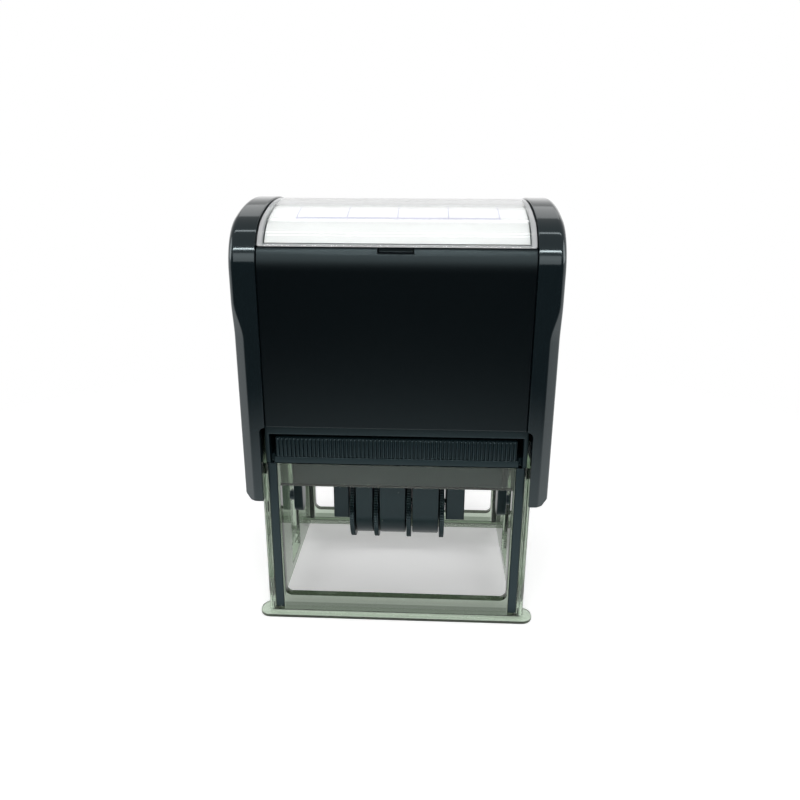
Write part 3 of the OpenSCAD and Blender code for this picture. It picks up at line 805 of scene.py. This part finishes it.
@dataclass
class ClearBase(Assembly):
    """The clear skirt that stands on the paper, and the black frame let into it."""

    edge: float = 0.2
    frame_edge: float = 0.22
    wall_x: float = 31.9
    wall_y: float = 24.15
    flange_top: float = 0.8
    inner_x: float = 29.3
    socket_x: Point = (27.9, 30.05)
    socket_depth: float = 1.65
    socket_z: float = 1.7
    socket_lift: float = 0.3
    strip_z: float = 3.2
    window_x: float = 27.4
    window_z: Point = (5.2, 35.1)
    reveal_depth: float = 2.5
    reveal_slope: float = 0.5
    rim_slope: float = 0.75
    facing: float = 0.9
    flat: float = 0.99
    hair: float = 0.01
    touch: float = 0.05
    slack: float = 0.2

    def build(self) -> None:
        """Builds the skirt and its frame."""
        self.place(self.skirt(), Body.BASE, Slot.CLEAR_BASE, "base_frame")
        self.place(moulded("skeleton", "pad_housing", self.frame_edge), Body.BASE, Slot.FRAME, "skeleton")

    def skirt(self) -> bpy.types.Object:
        """Builds the clear skirt, with painted shade on the edges of its sheet-like walls and on its inner
        and lower faces.
        """
        skirt = copied("base_frame", "clear_skirt")
        soften(skirt, self.edge)
        with_bmesh(skirt, self.cut_walls)
        smooth(skirt)
        # Painted shade: narrow edges take the darkest finish, inner and lower faces the dimmer one.
        for finish in ("clear_base", "clear_shaded_edge", "clear_shaded_inside"):
            skirt.data.materials.append(self.palette.pick(finish))
        for face in skirt.data.polygons:
            spot = face.center / MM
            if self.is_painted_edge(spot, face.normal):
                face.material_index = 1
            elif self.is_in_painted_shade(spot, face.normal):
                face.material_index = 2
        return skirt

    def cut_walls(self, bm: bmesh.types.BMesh) -> None:
        """Cuts the walls' lower strips, and the spots under the frame's legs, free from the rest, so that
        they can take painted shade.
        """
        for z in (self.strip_z, self.socket_z):
            cut(bm, [face for face in bm.faces if self.on_wall(face)], (0, 0, z), (0, 0, 1))
        for x in self.socket_x:
            for side in (-1, 1):
                low = [face for face in bm.faces if self.on_wall(face) and self.is_low(face)]
                cut(bm, low, (side * x, 0, 0), (1, 0, 0))

    def on_wall(self, face: bmesh.types.BMFace) -> bool:
        """Tells whether a face is part of the front or rear wall's outside."""
        off = abs(abs(face.calc_center_median().y / MM) - self.wall_y)
        return abs(face.normal.y) > self.flat and off < self.hair

    def is_low(self, face: bmesh.types.BMFace) -> bool:
        """Tells whether a face lies below the legs."""
        return max(vert.co.z for vert in face.verts) < (self.socket_z + self.hair) * MM

    def in_socket(self, spot: Vector) -> bool:
        """Tells whether a point lies under one of the frame's legs."""
        near, far = self.socket_x
        across = near - self.slack < abs(spot.x) < far + self.slack
        deep = self.wall_y - self.socket_depth - self.slack < abs(spot.y) < self.wall_y + self.touch
        return across and deep and self.flange_top < spot.z < self.socket_z + self.socket_lift

    def is_outside(self, spot: Vector) -> bool:
        """Tells whether a point lies beyond the walls, on the flange."""
        return abs(spot.x) > self.wall_x + self.slack or abs(spot.y) > self.wall_y + self.slack

    def is_in_painted_shade(self, spot: Vector, normal: Vector) -> bool:
        """Tells whether a face is a side wall's inside or the lower strip of the front or rear wall, which
        is painted dimmer as shade.
        """
        if abs(normal.x) > self.facing:
            return abs(abs(spot.x) - self.inner_x) < self.touch
        outside = abs(normal.y) > self.facing and abs(abs(spot.y) - self.wall_y) < self.touch
        return outside and spot.z < self.strip_z

    def is_painted_edge(self, spot: Vector, normal: Vector) -> bool:
        """Tells whether a face is the narrow edge of a wall, which is painted dark as shade.

        Args:
            spot: the face's middle in millimetres.
            normal: its direction.

        Returns:
            True on the flange's rim, under the frame's legs and in the reveals of the windows, where
            painted shade stands for contact shadow and refraction.
        """
        if self.is_outside(spot):
            return abs(normal.z) < self.rim_slope
        if self.in_socket(spot):
            return True
        low, high = self.window_z
        in_window = abs(spot.x) < self.window_x + self.touch
        in_window = in_window and low - self.touch < spot.z < high + self.touch
        in_wall = abs(spot.y) > self.wall_y - self.reveal_depth
        return in_window and in_wall and abs(normal.y) < self.reveal_slope


@dataclass
class InkCassette(Assembly):
    """The tray with the ribbed front edge, and its felt."""

    front: Point = (-24.6, -22.9)
    half_w: float = 27.8
    low: float = 42.8
    high: float = 47.4
    ribs: int = 59
    rib_depth: float = 0.5
    rib_shape: Sequence[Point] = ((0.12, 1.0), (0.2, 0.35), (0.34, 0.0), (0.66, 0.0), (0.8, 0.35),
                                  (0.88, 1.0))
    foot_round: Point = (0.35, 0.25)
    head_round: Sequence[Point] = ((0.6, 0.0), (0.15, 0.3), (0.0, 0.5))
    body_half: float = 27.0
    body_edge: float = 0.3
    overlap: float = 0.1
    rear: float = 20.0
    crease: float = 40.0
    pocket: Spot = (25.4, 14.1, 45.5)
    felt_corner: Spot = (25.3, 14.0, 45.4)
    felt_low: float = 42.9
    felt_edge: float = 0.7
    felt_face: float = 0.05
    nap_cuts: int = 5
    nap_waves: Point = (611.0, 743.0)
    nap_depth: float = 0.04

    def build(self) -> None:
        """Builds the tray and the felt."""
        self.place(self.tray(), Body.CASSETTE, Slot.FRAME, "pad_cassette")
        self.place(self.felt(), Body.CASSETTE, Slot.FELT, "ink_pad")

    def rib_line(self, pull: float) -> list[Point]:
        """Draws the ribbed front from above.

        Args:
            pull: how far the ribs are drawn back.

        Returns:
            The outline's points.
        """
        pitch = 2 * self.half_w / self.ribs
        crest, root = self.front[0], self.front[0] + self.rib_depth
        line: list[Point] = [(-self.half_w, self.front[1]), (-self.half_w, root)]
        for i in range(self.ribs):
            for along, depth in self.rib_shape:
                y = crest + depth * self.rib_depth
                line.append((-self.half_w + (i + along) * pitch, min(root, y + pull)))
        return line + [(self.half_w, root), (self.half_w, self.front[1])]

    def tray(self) -> bpy.types.Object:
        """Builds the tray: ribs in front, body behind, pocket below."""
        rise, pull = self.foot_round
        levels = [(self.low, pull), (self.low + rise, 0.0)]
        levels += [(self.high - drop, pull) for drop, pull in self.head_round]
        tray = loft("cassette_tray", [[(x, y, z) for x, y in self.rib_line(pull)] for z, pull in levels])
        body = box("tray_body", (-self.body_half, self.front[1] - self.overlap, self.low),
                   (self.body_half, self.rear, self.high))
        soften(body, self.body_edge)
        combine(tray, body, "UNION")
        x, y, z = self.pocket
        combine(tray, box("pocket", (-x, -y, self.low - 1), (x, y, z)), "DIFFERENCE")
        smooth(tray, self.crease)
        return tray

    def felt(self) -> bpy.types.Object:
        """Builds the felt, with soft rolled edges and an uneven face."""
        x, y, z = self.felt_corner
        felt = box("felt_pad", (-x, -y, self.felt_low), (x, y, z))
        soften(felt, self.felt_edge, 3)
        across, along = self.nap_waves

        def nap(bm: bmesh.types.BMesh) -> None:
            """Cuts the felt finely and lets its lower face sink here and there."""
            bmesh.ops.subdivide_edges(bm, edges=bm.edges, cuts=self.nap_cuts, use_grid_fill=True)
            for vert in bm.verts:
                if vert.co.z < (self.felt_low + self.felt_face) * MM:
                    wave = math.sin(vert.co.x * across) * math.cos(vert.co.y * along) + 1
                    vert.co.z += self.nap_depth * MM * wave

        with_bmesh(felt, nap)
        smooth(felt, SOFT_CREASE)
        return felt


@dataclass
class Handle(Assembly):
    """The push handle: matte shell, two glossy cheeks, the index card and its clear window."""

    half_d: float = 27.2
    shoulder_r: float = 12.0
    shoulder: Point = (15.2, 85.517)
    top_r: float = 56.4
    top_z: float = 43.8
    seam_x: float = 29.5
    outer_x: float = 35.4
    foot_z: float = 32.5
    wall: float = 2.0
    bevel: Point = (2.7, 2.0)
    bevel_top: Point = (1.0, 0.9)
    flare: Point = (71.0, 79.5)
    flare_gap: float = 1.0
    rise_steps: int = 6
    flare_steps: int = 12
    shoulder_steps: int = 28
    top_steps: int = 40
    round_r: float = 0.55
    round_share: float = 0.45
    round_steps: int = 4
    seam_round: Sequence[Point] = ((0.0, 0.3), (0.09, 0.09), (0.3, 0.0))
    step: float = 1.3
    step_gap: float = 0.1
    step_steps: int = 6
    panel_z: float = 50.8
    foot_bevel: float = 1.5
    tool_y: float = 40.0
    spare: float = 1.0
    boss: tuple[float, float, float, float] = (29.4, 5.0, 32.5, 40.6)
    boss_sink: float = 0.5
    boss_edge: float = 0.4
    pin: Spot = (35.5, 2.05, 34.0)
    bore_sides: int = 32
    cheek_flat: float = 0.2
    cheek_crease: float = 28.0
    card_edge: float = 0.06
    rim_x: float = 28.2
    rim_z: float = 91.0
    shell_edge: float = 0.3
    window_edge: float = 0.35

    def build(self) -> None:
        """Builds every piece of the handle."""
        panels = moulded("handle_shell", "handle_panels", self.shell_edge)
        self.place(panels, Body.HANDLE, Slot.SATIN, "handle_shell")
        for side in Side:
            self.place(self.cheek(side), Body.HANDLE, Slot.GLOSS, f"{side.name.lower()}_cheek")
        card = moulded("index_card", "index_card_sheet", self.card_edge, 1)
        self.place(card, Body.HANDLE, Slot.CARD, "index_card")
        self.place(self.window(), Body.WINDOW, Slot.CLEAR_WINDOW, "index_window")

    def arch(self, low: float) -> list[tuple[float, float, float, float]]:
        """Walks the handle's side outline from the front foot over the top to the rear foot.

        Args:
            low: the height that it starts and ends at.

        Returns:
            Points as (y, z, outward y, outward z).
        """
        turn = math.atan2(self.shoulder[1] - self.top_z, self.shoulder[0])
        start, end = self.flare
        steps = self.rise_steps
        rise = [low + (start - self.flare_gap - low) * i / steps for i in range(steps + 1)]
        rise += [start + (end - start) * i / self.flare_steps for i in range(self.flare_steps + 1)]
        rise.append((end + self.shoulder[1]) / 2)
        walk = [(-self.half_d, z, -1.0, 0.0) for z in rise]
        for i in range(self.shoulder_steps + 1):
            a = math.pi - turn * i / self.shoulder_steps
            walk.append((-self.shoulder[0] + self.shoulder_r * math.cos(a),
                         self.shoulder[1] + self.shoulder_r * math.sin(a), math.cos(a), math.sin(a)))
        for i in range(1, self.top_steps // 2):
            a = math.pi - turn + (2 * turn - math.pi) * i / self.top_steps
            walk.append((self.top_r * math.cos(a), self.top_z + self.top_r * math.sin(a),
                         math.cos(a), math.sin(a)))
        walk.append((0.0, self.top_z + self.top_r, 0.0, 1.0))
        return walk + [(-y, z, -ny, nz) for y, z, ny, nz in reversed(walk[:-1])]

    def section(self, z: float) -> list[Point]:
        """Draws the cheek's skin across one station.

        Args:
            z: the station's height.

        Returns:
            Points as (x, depth under the outline), from the seam to the outer side.
        """
        share = min(1.0, max(0.0, (z - self.flare[0]) / (self.flare[1] - self.flare[0])))
        share = share * share * (3 - 2 * share)
        across, down = (a + (b - a) * share for a, b in zip(self.bevel, self.bevel_top))
        length = math.hypot(across, down)
        ux, uy = across / length, down / length
        reach = min(self.round_r, self.round_share * length)
        corners = [((self.outer_x - across, 0.0), (-1.0, 0.0), (ux, uy)),
                   ((self.outer_x, down), (-ux, -uy), (0.0, 1.0))]
        line: list[Point] = [(self.seam_x + x, depth) for x, depth in self.seam_round]
        for (cx, cy), (ax, ay), (bx, by) in corners:
            for t in (i / self.round_steps for i in range(self.round_steps + 1)):
                p, q = (1 - t) ** 2 * reach, t ** 2 * reach
                line.append((cx + ax * p + bx * q, cy + ay * p + by * q))
        return line

    def cheek(self, side: Side) -> bpy.types.Object:
        """Builds one cheek.

        Args:
            side: which cheek.

        Returns:
            The hollow cheek with its trunnion boss.
        """
        name = f"{side.name.lower()}_cheek_shell"
        walk = self.arch(self.foot_z)
        sections = [self.section(z) for _, z, _, _ in walk]
        rings = []
        for k in range(len(sections[0])):
            rings.append([(s[k][0], y - ny * s[k][1], z - nz * s[k][1])
                          for s, (y, z, ny, nz) in zip(sections, walk)])
        cheek = loft(name, rings)
        below = self.foot_z - 2 * self.spare
        hollow = [(y - ny * self.wall, z - nz * self.wall) for y, z, ny, nz in self.arch(below)]
        inner_x = self.outer_x - self.wall
        combine(cheek, prism_x("hollow", hollow, self.seam_x - self.spare, inner_x), "DIFFERENCE")
        combine(cheek, self.step_tool(), "DIFFERENCE")
        combine(cheek, self.foot_tool(), "DIFFERENCE")
        x0, y1, z0, z1 = self.boss
        boss = box("boss", (x0, -y1, z0), (inner_x + self.boss_sink, y1, z1))
        soften(boss, self.boss_edge, 3)
        combine(cheek, boss, "UNION")
        z, r, x1 = self.pin
        turns = [math.tau * i / self.bore_sides for i in range(self.bore_sides)]
        bore = [(r * math.cos(a), z + r * math.sin(a)) for a in turns]
        combine(cheek, prism_x("bore", bore, x0 - self.spare, x1), "DIFFERENCE")
        if side is Side.LEFT:
            cheek.data.transform(Matrix.Scale(-1.0, 4, (1.0, 0.0, 0.0)))
        tidy(cheek, self.cheek_flat)
        smooth(cheek, self.cheek_crease)
        return cheek

    def foot_tool(self) -> bpy.types.Object:
        """Shapes what the cheek's foot loses to its bevel."""
        low, far = self.foot_z - self.spare, self.outer_x + self.spare
        wedge = [(self.outer_x - self.foot_bevel - self.spare, low), (far, low),
                 (far, self.foot_z + self.foot_bevel + self.spare)]
        return prism_y("foot_tool", wedge, -self.tool_y, self.tool_y)

    def step_tool(self) -> bpy.types.Object:
        """Shapes the room beside the base: the cheek's inner edge steps out below the panels."""
        x = self.seam_x + self.step
        r = self.step - self.step_gap
        top = self.panel_z
        near, low = self.seam_x - 2 * self.spare, self.foot_z - 2 * self.spare
        turns = [math.pi / 2 * i / self.step_steps for i in range(1, self.step_steps + 1)]
        outline = [(near, low), (x, low), (x, top - r)]
        outline += [(x - r + r * math.cos(a), top - r + r * math.sin(a)) for a in turns]
        outline.append((near, top))
        return prism_y("step_tool", outline, -self.tool_y, self.tool_y)

    def window(self) -> bpy.types.Object:
        """Builds the clear window with a frosted rim."""
        window = moulded("index_window", "index_window_cover", self.window_edge, 3)

        def ring(bm: bmesh.types.BMesh) -> None:
            """Cuts lines between the clear field and the rim."""
            for x in (-self.rim_x, self.rim_x):
                cut(bm, bm.faces[:], (x, 0, 0), (1, 0, 0))
            cut(bm, bm.faces[:], (0, 0, self.rim_z), (0, 0, 1))

        with_bmesh(window, ring)
        for finish in ("clear_window", "window_rim"):
            window.data.materials.append(self.palette.pick(finish))
        for face in window.data.polygons:
            outside = abs(face.center.x) > self.rim_x * MM or face.center.z < self.rim_z * MM
            face.material_index = 1 if outside else 0
        smooth(window)
        return window


@dataclass
class ReturnSprings(Assembly):
    """The two coil springs that push the handle up."""

    offset: float = 13.0
    low: float = 50.5
    high: float = 93.9
    mean_r: float = 3.6
    wire_r: float = 0.5
    turns: float = 9.0
    per_turn: int = 24
    sides: int = 10
    end_closing: float = 0.055
    keep: float = 0.327

    def build(self) -> None:
        """Builds and places both springs, each with a mesh of its own."""
        for side in Side:
            name = side.name.lower()
            spring = self.coil(f"{name}_coil", side.value * self.offset)
            self.place(spring, Body.BASE, Slot.STEEL, f"{name}_return_spring")
            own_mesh(spring)

    def height(self, turn: float) -> float:
        """Gives the wire's height after a number of turns, with closer coils at both ends."""
        share = turn / self.turns
        eased = share - self.end_closing * math.sin(math.tau * share)
        return self.low + self.wire_r + (self.high - self.low - 2 * self.wire_r) * eased

    def coil(self, name: str, x: float) -> bpy.types.Object:
        """Winds one spring round a place on the X axis."""
        rings = []
        steps = int(self.turns * self.per_turn)
        for i in range(steps + 1):
            turn = i / self.per_turn
            a = math.tau * turn
            z = self.height(turn)
            ring = []
            for j in range(self.sides):
                b = math.tau * j / self.sides
                r = self.mean_r + self.wire_r * math.cos(b)
                ring.append((x + r * math.cos(a), r * math.sin(a), z + self.wire_r * math.sin(b)))
            rings.append(ring)
        coil = loft(name, rings)
        smooth(coil, SOFT_CREASE)
        return coil


@dataclass
class DieCarriage(Assembly):
    """Everything that turns over with the die, apart from the date unit."""

    edges: dict[str, float] = field(default_factory=lambda: {
        "die_holder": 0.25, "text_plate": 0.15, "left_flip_lever": 0.3, "right_flip_lever": 0.3})
    rubber_edge: float = 0.08
    pin_edge: float = 0.25

    def build(self) -> None:
        """Builds holder, plate, rubber, levers and pins."""
        for node, width in self.edges.items():
            self.place(moulded(node, f"{node}_moulding", width), Body.CARRIAGE, Slot.FRAME, node)
        rubber = moulded("text_die", "text_rubber", self.rubber_edge, 1)
        self.place(rubber, Body.CARRIAGE, Slot.RUBBER, "text_die")
        pins = moulded("trunnion_pins", "trunnion_pin_pair", self.pin_edge)
        self.place(pins, Body.CARRIAGE, Slot.STEEL, "trunnion_pins")


@dataclass
class DateUnit(Assembly):
    """The cage with its setting wheels, the date bands and the bridge under the date line."""

    axle_z: float = 19.3
    band_r: float = 4.7
    band_t: float = 1.0
    band_edge: float = 0.12
    band_crease: float = 40.0
    hub_steps: int = 40
    bridge: Spot = (1.6, 39.4, 0.7)
    bridge_steps: int = 8
    raise_t: float = 0.6
    digit_h: float = 2.7
    digit_sink: float = 0.2
    spans: dict[str, tuple[float, float, str]] = field(default_factory=lambda: {
        "day_tens_band": (-11.4, -9.275, "2"), "day_units_band": (-8.975, -6.85, "4"),
        "month_band": (-5.05, 1.8, "06"), "year_band": (3.6, 10.6, "2026")})
    wheels: tuple[str, ...] = ("day_tens", "day_units", "month", "year")
    cage_edge: float = 0.3
    axle_edge: float = 0.2
    bridge_edge: float = 0.1
    wheel_edge: float = 0.07

    def build(self) -> None:
        """Builds the cage, the wheels and the bands."""
        cage = moulded("date_cage", "date_cage_moulding", self.cage_edge)
        self.place(cage, Body.CARRIAGE, Slot.FRAME, "date_cage")
        axle = moulded("wheel_axle", "wheel_axle_rod", self.axle_edge)
        self.place(axle, Body.CARRIAGE, Slot.STEEL, "wheel_axle")
        bridge = moulded("band_bridge", "band_bridge_bar", self.bridge_edge)
        self.place(bridge, Body.CARRIAGE, Slot.FRAME, "band_bridge")
        for name in self.wheels:
            wheel = moulded(f"{name}_wheel", f"{name}_setting_wheel", self.wheel_edge, 1)
            self.place(wheel, f"{name}_setter", Slot.FRAME, f"{name}_wheel")
        for node, (x0, x1, digits) in self.spans.items():
            self.place(self.band(node, x0, x1, digits), Body.CARRIAGE, Slot.RUBBER, node)

    def loop(self, grow: float) -> list[Point]:
        """Draws a band's loop round its hub and over the bridge.

        Args:
            grow: distance outside the loop's inner face.

        Returns:
            The loop's points.
        """
        by, bz, br = self.bridge
        rise = bz - self.axle_z
        tilt = math.atan2(rise, by) - math.acos((self.band_r - br) / math.hypot(by, rise))

        def arc(cy: float, cz: float, r: float, a0: float, a1: float, steps: int) -> list[Point]:
            """Walks an arc."""
            angles = [a0 + (a1 - a0) * i / steps for i in range(steps + 1)]
            return [(cy + r * math.cos(a), cz + r * math.sin(a)) for a in angles]

        return (arc(0.0, self.axle_z, self.band_r + grow, math.pi - tilt, math.tau + tilt, self.hub_steps)
                + arc(by, bz, br + grow, tilt, math.pi / 2, self.bridge_steps)
                + arc(-by, bz, br + grow, math.pi / 2, math.pi - tilt, self.bridge_steps))

    def band(self, node: str, x0: float, x1: float, digits: str) -> bpy.types.Object:
        """Builds one date band with its raised digits.

        Args:
            node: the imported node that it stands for.
            x0: left edge.
            x1: right edge.
            digits: what it prints.

        Returns:
            The band.
        """
        full, soft = self.band_t, self.band_edge
        profile = ((0.0, x0), (full - soft, x0), (full, x0 + soft),
                   (full, x1 - soft), (full - soft, x1), (0.0, x1))
        rings = [[(x, y, z) for y, z in self.loop(grow)] for grow, x in profile]
        belt = loft(f"{node}_belt", rings, closed=True)
        step = (x1 - x0) / len(digits)
        print_face = self.bridge[1] + self.bridge[2] + self.band_t
        pieces = [belt]
        for i, digit in enumerate(reversed(digits)):
            mark = numerals(f"{node}_digit_{i}", digit, self.digit_h, self.raise_t + self.digit_sink)
            middle = print_face + self.raise_t / 2 - self.digit_sink / 2
            mark.data.transform(Matrix.Translation(Vector((x0 + (i + 0.5) * step, 0.0, middle)) * MM))
            pieces.append(mark)
        band = merge(f"{node}_loop", pieces)
        smooth(band, self.band_crease)
        return band


@dataclass
class Studio:
    """Floor, lamps, world and camera."""

    focal_px: float = 677.669
    image_px: float = 800.0
    sensor_mm: float = 36.0
    spot: Spot = (7.027, -168.994, 104.583)
    pitch: float = 18.162
    yaw: float = -2.400
    roll: float = 0.253
    near_clip: float = 0.005
    ambient: float = 0.3
    front_shade: float = 0.97
    front_range: Point = (0.0, 0.5)
    front_level: Point = (0.25, 0.6)
    ceiling_shade: float = 0.6
    ceiling_level: Point = (0.15, 0.55)
    floor_r: float = 450.0
    floor_sides: int = 64
    floor_tone: float = 0.85
    floor_fade: Point = (0.06, 0.24)
    # Painted shadow on the floor: a soft rectangle under the stamp, and the glow inside it (low) and
    # outside it (high).
    shade_x: Point = (0.022, 0.036)
    shade_y: Point = (0.014, 0.03)
    painted_shadow_glow: Point = (0.28, 0.56)

    def build(self) -> None:
        """Sets up the whole studio."""
        bpy.context.scene.view_settings.view_transform = "Standard"
        self.floor()
        self.world()
        self.lamp("key_softbox", (0.0, -0.25, 2.0), (0.0, 0.0, 0.05), (2.0, 0.1), 2.9)
        self.lamp("low_strip", (0.0, -0.62, 0.62), (0.0, 0.0, 0.05), (0.9, 0.04), 2.0)
        self.lamp("front_fill", (0.0, -0.8, 0.43), (0.0, 0.0, 0.08), (0.9, 0.26), 1.0)
        self.lamp("left_softbox", (-0.7, -0.1, 0.35), (0.0, 0.0, 0.05), (0.35, 0.35), 0.9)
        self.lamp("right_softbox", (0.7, -0.1, 0.35), (0.0, 0.0, 0.05), (0.35, 0.35), 0.9)
        self.lamp("rear_softbox", (0.0, 0.6, 0.6), (0.0, 0.0, 0.05), (0.7, 0.3), 0.4)
        self.camera()

    def floor(self) -> None:
        """Lays a pale floor that keeps the shadow, and adds a painted shadow: its glow is dimmer under the
        stamp.
        """
        turns = [math.tau * i / self.floor_sides for i in range(self.floor_sides)]
        rim = [(self.floor_r * math.cos(a), self.floor_r * math.sin(a), 0.0) for a in turns]
        plane = make_piece("floor", rim, [tuple(range(self.floor_sides))])
        material = bpy.data.materials.new("pale_floor")
        material.use_nodes = True
        material.node_tree.nodes.clear()
        graph = Graph(material.node_tree)
        path = graph.add("ShaderNodeLightPath")
        seen = graph.maths("MAXIMUM", path.outputs["Is Camera Ray"], path.outputs["Is Glossy Ray"])
        seen = graph.maths("MAXIMUM", seen, path.outputs["Is Transmission Ray"])
        direct = graph.maths("LESS_THAN", path.outputs["Diffuse Depth"], FIRST_BOUNCE)
        glow = graph.add("ShaderNodeEmission")
        place = graph.add("ShaderNodeTexCoord").outputs["Object"]
        part = graph.add("ShaderNodeSeparateXYZ")
        graph.join(place, part.inputs[0])
        # Painted shadow: the glow falls from its open-floor level to a lower level inside a soft rectangle
        # under the stamp.
        outside_shadow_x = graph.ramp(graph.maths("ABSOLUTE", part.outputs["X"]), *self.shade_x)
        outside_shadow_y = graph.ramp(graph.maths("ABSOLUTE", part.outputs["Y"]), *self.shade_y)
        outside_painted_shadow = graph.maths("MAXIMUM", outside_shadow_x, outside_shadow_y)
        low, high = self.painted_shadow_glow
        glow_with_painted_shadow = graph.maths("ADD", graph.maths("MULTIPLY", outside_painted_shadow, high - low), low)
        seen = graph.maths("MULTIPLY", seen, direct)
        graph.join(graph.maths("MULTIPLY", seen, glow_with_painted_shadow), glow.inputs["Strength"])
        matte = graph.add("ShaderNodeBsdfDiffuse")
        matte.inputs["Color"].default_value = (self.floor_tone, self.floor_tone, self.floor_tone, 1.0)
        both = graph.add("ShaderNodeAddShader")
        graph.join(glow.outputs[0], both.inputs[0])
        graph.join(matte.outputs[0], both.inputs[1])
        reach = graph.add("ShaderNodeVectorMath", operation="LENGTH")
        graph.join(place, reach.inputs[0])
        away = graph.ramp(reach.outputs["Value"], *self.floor_fade)
        away = graph.maths("MAXIMUM", away, graph.add("ShaderNodeNewGeometry").outputs["Backfacing"])
        gone = graph.add("ShaderNodeBsdfTransparent")
        fade = graph.add("ShaderNodeMixShader")
        graph.join(away, fade.inputs[0])
        graph.join(both.outputs[0], fade.inputs[1])
        graph.join(gone.outputs[0], fade.inputs[2])
        out = graph.add("ShaderNodeOutputMaterial")
        graph.join(fade.outputs[0], out.inputs["Surface"])
        plane.data.materials.append(material)

    def world(self) -> None:
        """Surrounds the stamp with soft white light."""
        world = bpy.data.worlds.new("soft_studio")
        bpy.context.scene.world = world
        world.use_nodes = True
        world.node_tree.nodes.clear()
        graph = Graph(world.node_tree)
        path = graph.add("ShaderNodeLightPath")
        direct = graph.maths("LESS_THAN", path.outputs["Diffuse Depth"], FIRST_BOUNCE)
        through = graph.maths("MULTIPLY", path.outputs["Is Transmission Ray"], direct)
        seen = graph.maths("MAXIMUM", path.outputs["Is Camera Ray"], through)
        way = graph.add("ShaderNodeSeparateXYZ")
        graph.join(graph.add("ShaderNodeTexCoord").outputs["Generated"], way.inputs[0])
        ahead = graph.ramp(graph.maths("MULTIPLY", way.outputs["Y"], -1.0), *self.front_range)
        level = graph.maths("SUBTRACT", 1.0, graph.ramp(way.outputs["Z"], *self.front_level))
        dark = graph.maths("MULTIPLY", graph.maths("MULTIPLY", ahead, level), self.front_shade)
        above = graph.ramp(way.outputs["Z"], *self.ceiling_level)
        ceiling = graph.maths("MULTIPLY", above, self.ceiling_shade)
        shade = graph.maths("MULTIPLY", graph.maths("MAXIMUM", dark, ceiling), -1.0)
        mirrored = graph.maths("MULTIPLY", path.outputs["Is Glossy Ray"], graph.maths("ADD", shade, 1.0))
        white = graph.add("ShaderNodeBackground")
        white.inputs["Color"].default_value = (1.0, 1.0, 1.0, 1.0)
        plain = graph.maths("SUBTRACT", 1.0, path.outputs["Is Glossy Ray"])
        floor = graph.maths("MULTIPLY", plain, self.ambient)
        strength = graph.maths("MAXIMUM", graph.maths("MAXIMUM", seen, mirrored), floor)
        graph.join(strength, white.inputs["Strength"])
        out = graph.add("ShaderNodeOutputWorld")
        graph.join(white.outputs[0], out.inputs["Surface"])

    def lamp(self, name: str, spot: Spot, target: Spot, size: Point, watts: float) -> None:
        """Hangs a soft box.

        Args:
            name: the lamp's name.
            spot: where it hangs, in metres.
            target: what it looks at.
            size: its width and height.
            watts: its power.
        """
        light = bpy.data.lights.new(name, "AREA")
        light.shape = "RECTANGLE"
        light.size, light.size_y = size
        light.energy = watts
        lamp = bpy.data.objects.new(name, light)
        lamp.location = spot
        lamp.rotation_euler = (Vector(target) - Vector(spot)).to_track_quat("-Z", "Y").to_euler()
        bpy.context.scene.collection.objects.link(lamp)

    def camera(self) -> None:
        """Stands the camera where the photograph was taken."""
        pitch, yaw, roll = (math.radians(a) for a in (self.pitch, self.yaw, self.roll))
        ahead = Vector((math.sin(yaw) * math.cos(pitch), math.cos(yaw) * math.cos(pitch), -math.sin(pitch)))
        right = Vector((math.cos(yaw), -math.sin(yaw), 0.0))
        up = right.cross(ahead)
        across = right * math.cos(roll) + up * math.sin(roll)
        upright = -right * math.sin(roll) + up * math.cos(roll)
        lens = bpy.data.cameras.new("photo_camera")
        lens.sensor_width = self.sensor_mm
        lens.lens = self.focal_px / self.image_px * self.sensor_mm
        lens.clip_start = self.near_clip
        camera = bpy.data.objects.new("photo_camera", lens)
        turn = Matrix((across, upright, -ahead)).transposed()
        camera.matrix_world = Matrix.Translation(Vector(self.spot) * MM) @ turn.to_4x4()
        bpy.context.scene.collection.objects.link(camera)
        bpy.context.scene.camera = camera


def main() -> None:
    """Builds the stamp, its finishes and the studio."""
    logging.basicConfig(level=logging.INFO, format="%(name)s %(message)s")
    palette = Palette(Effects())
    for kind in (ClearBase, InkCassette, Handle, ReturnSprings, DieCarriage, DateUnit):
        LOG.info("building %s", kind.__name__)
        kind(palette).build()
    Studio().build()


if __name__ == "__main__":
    main()
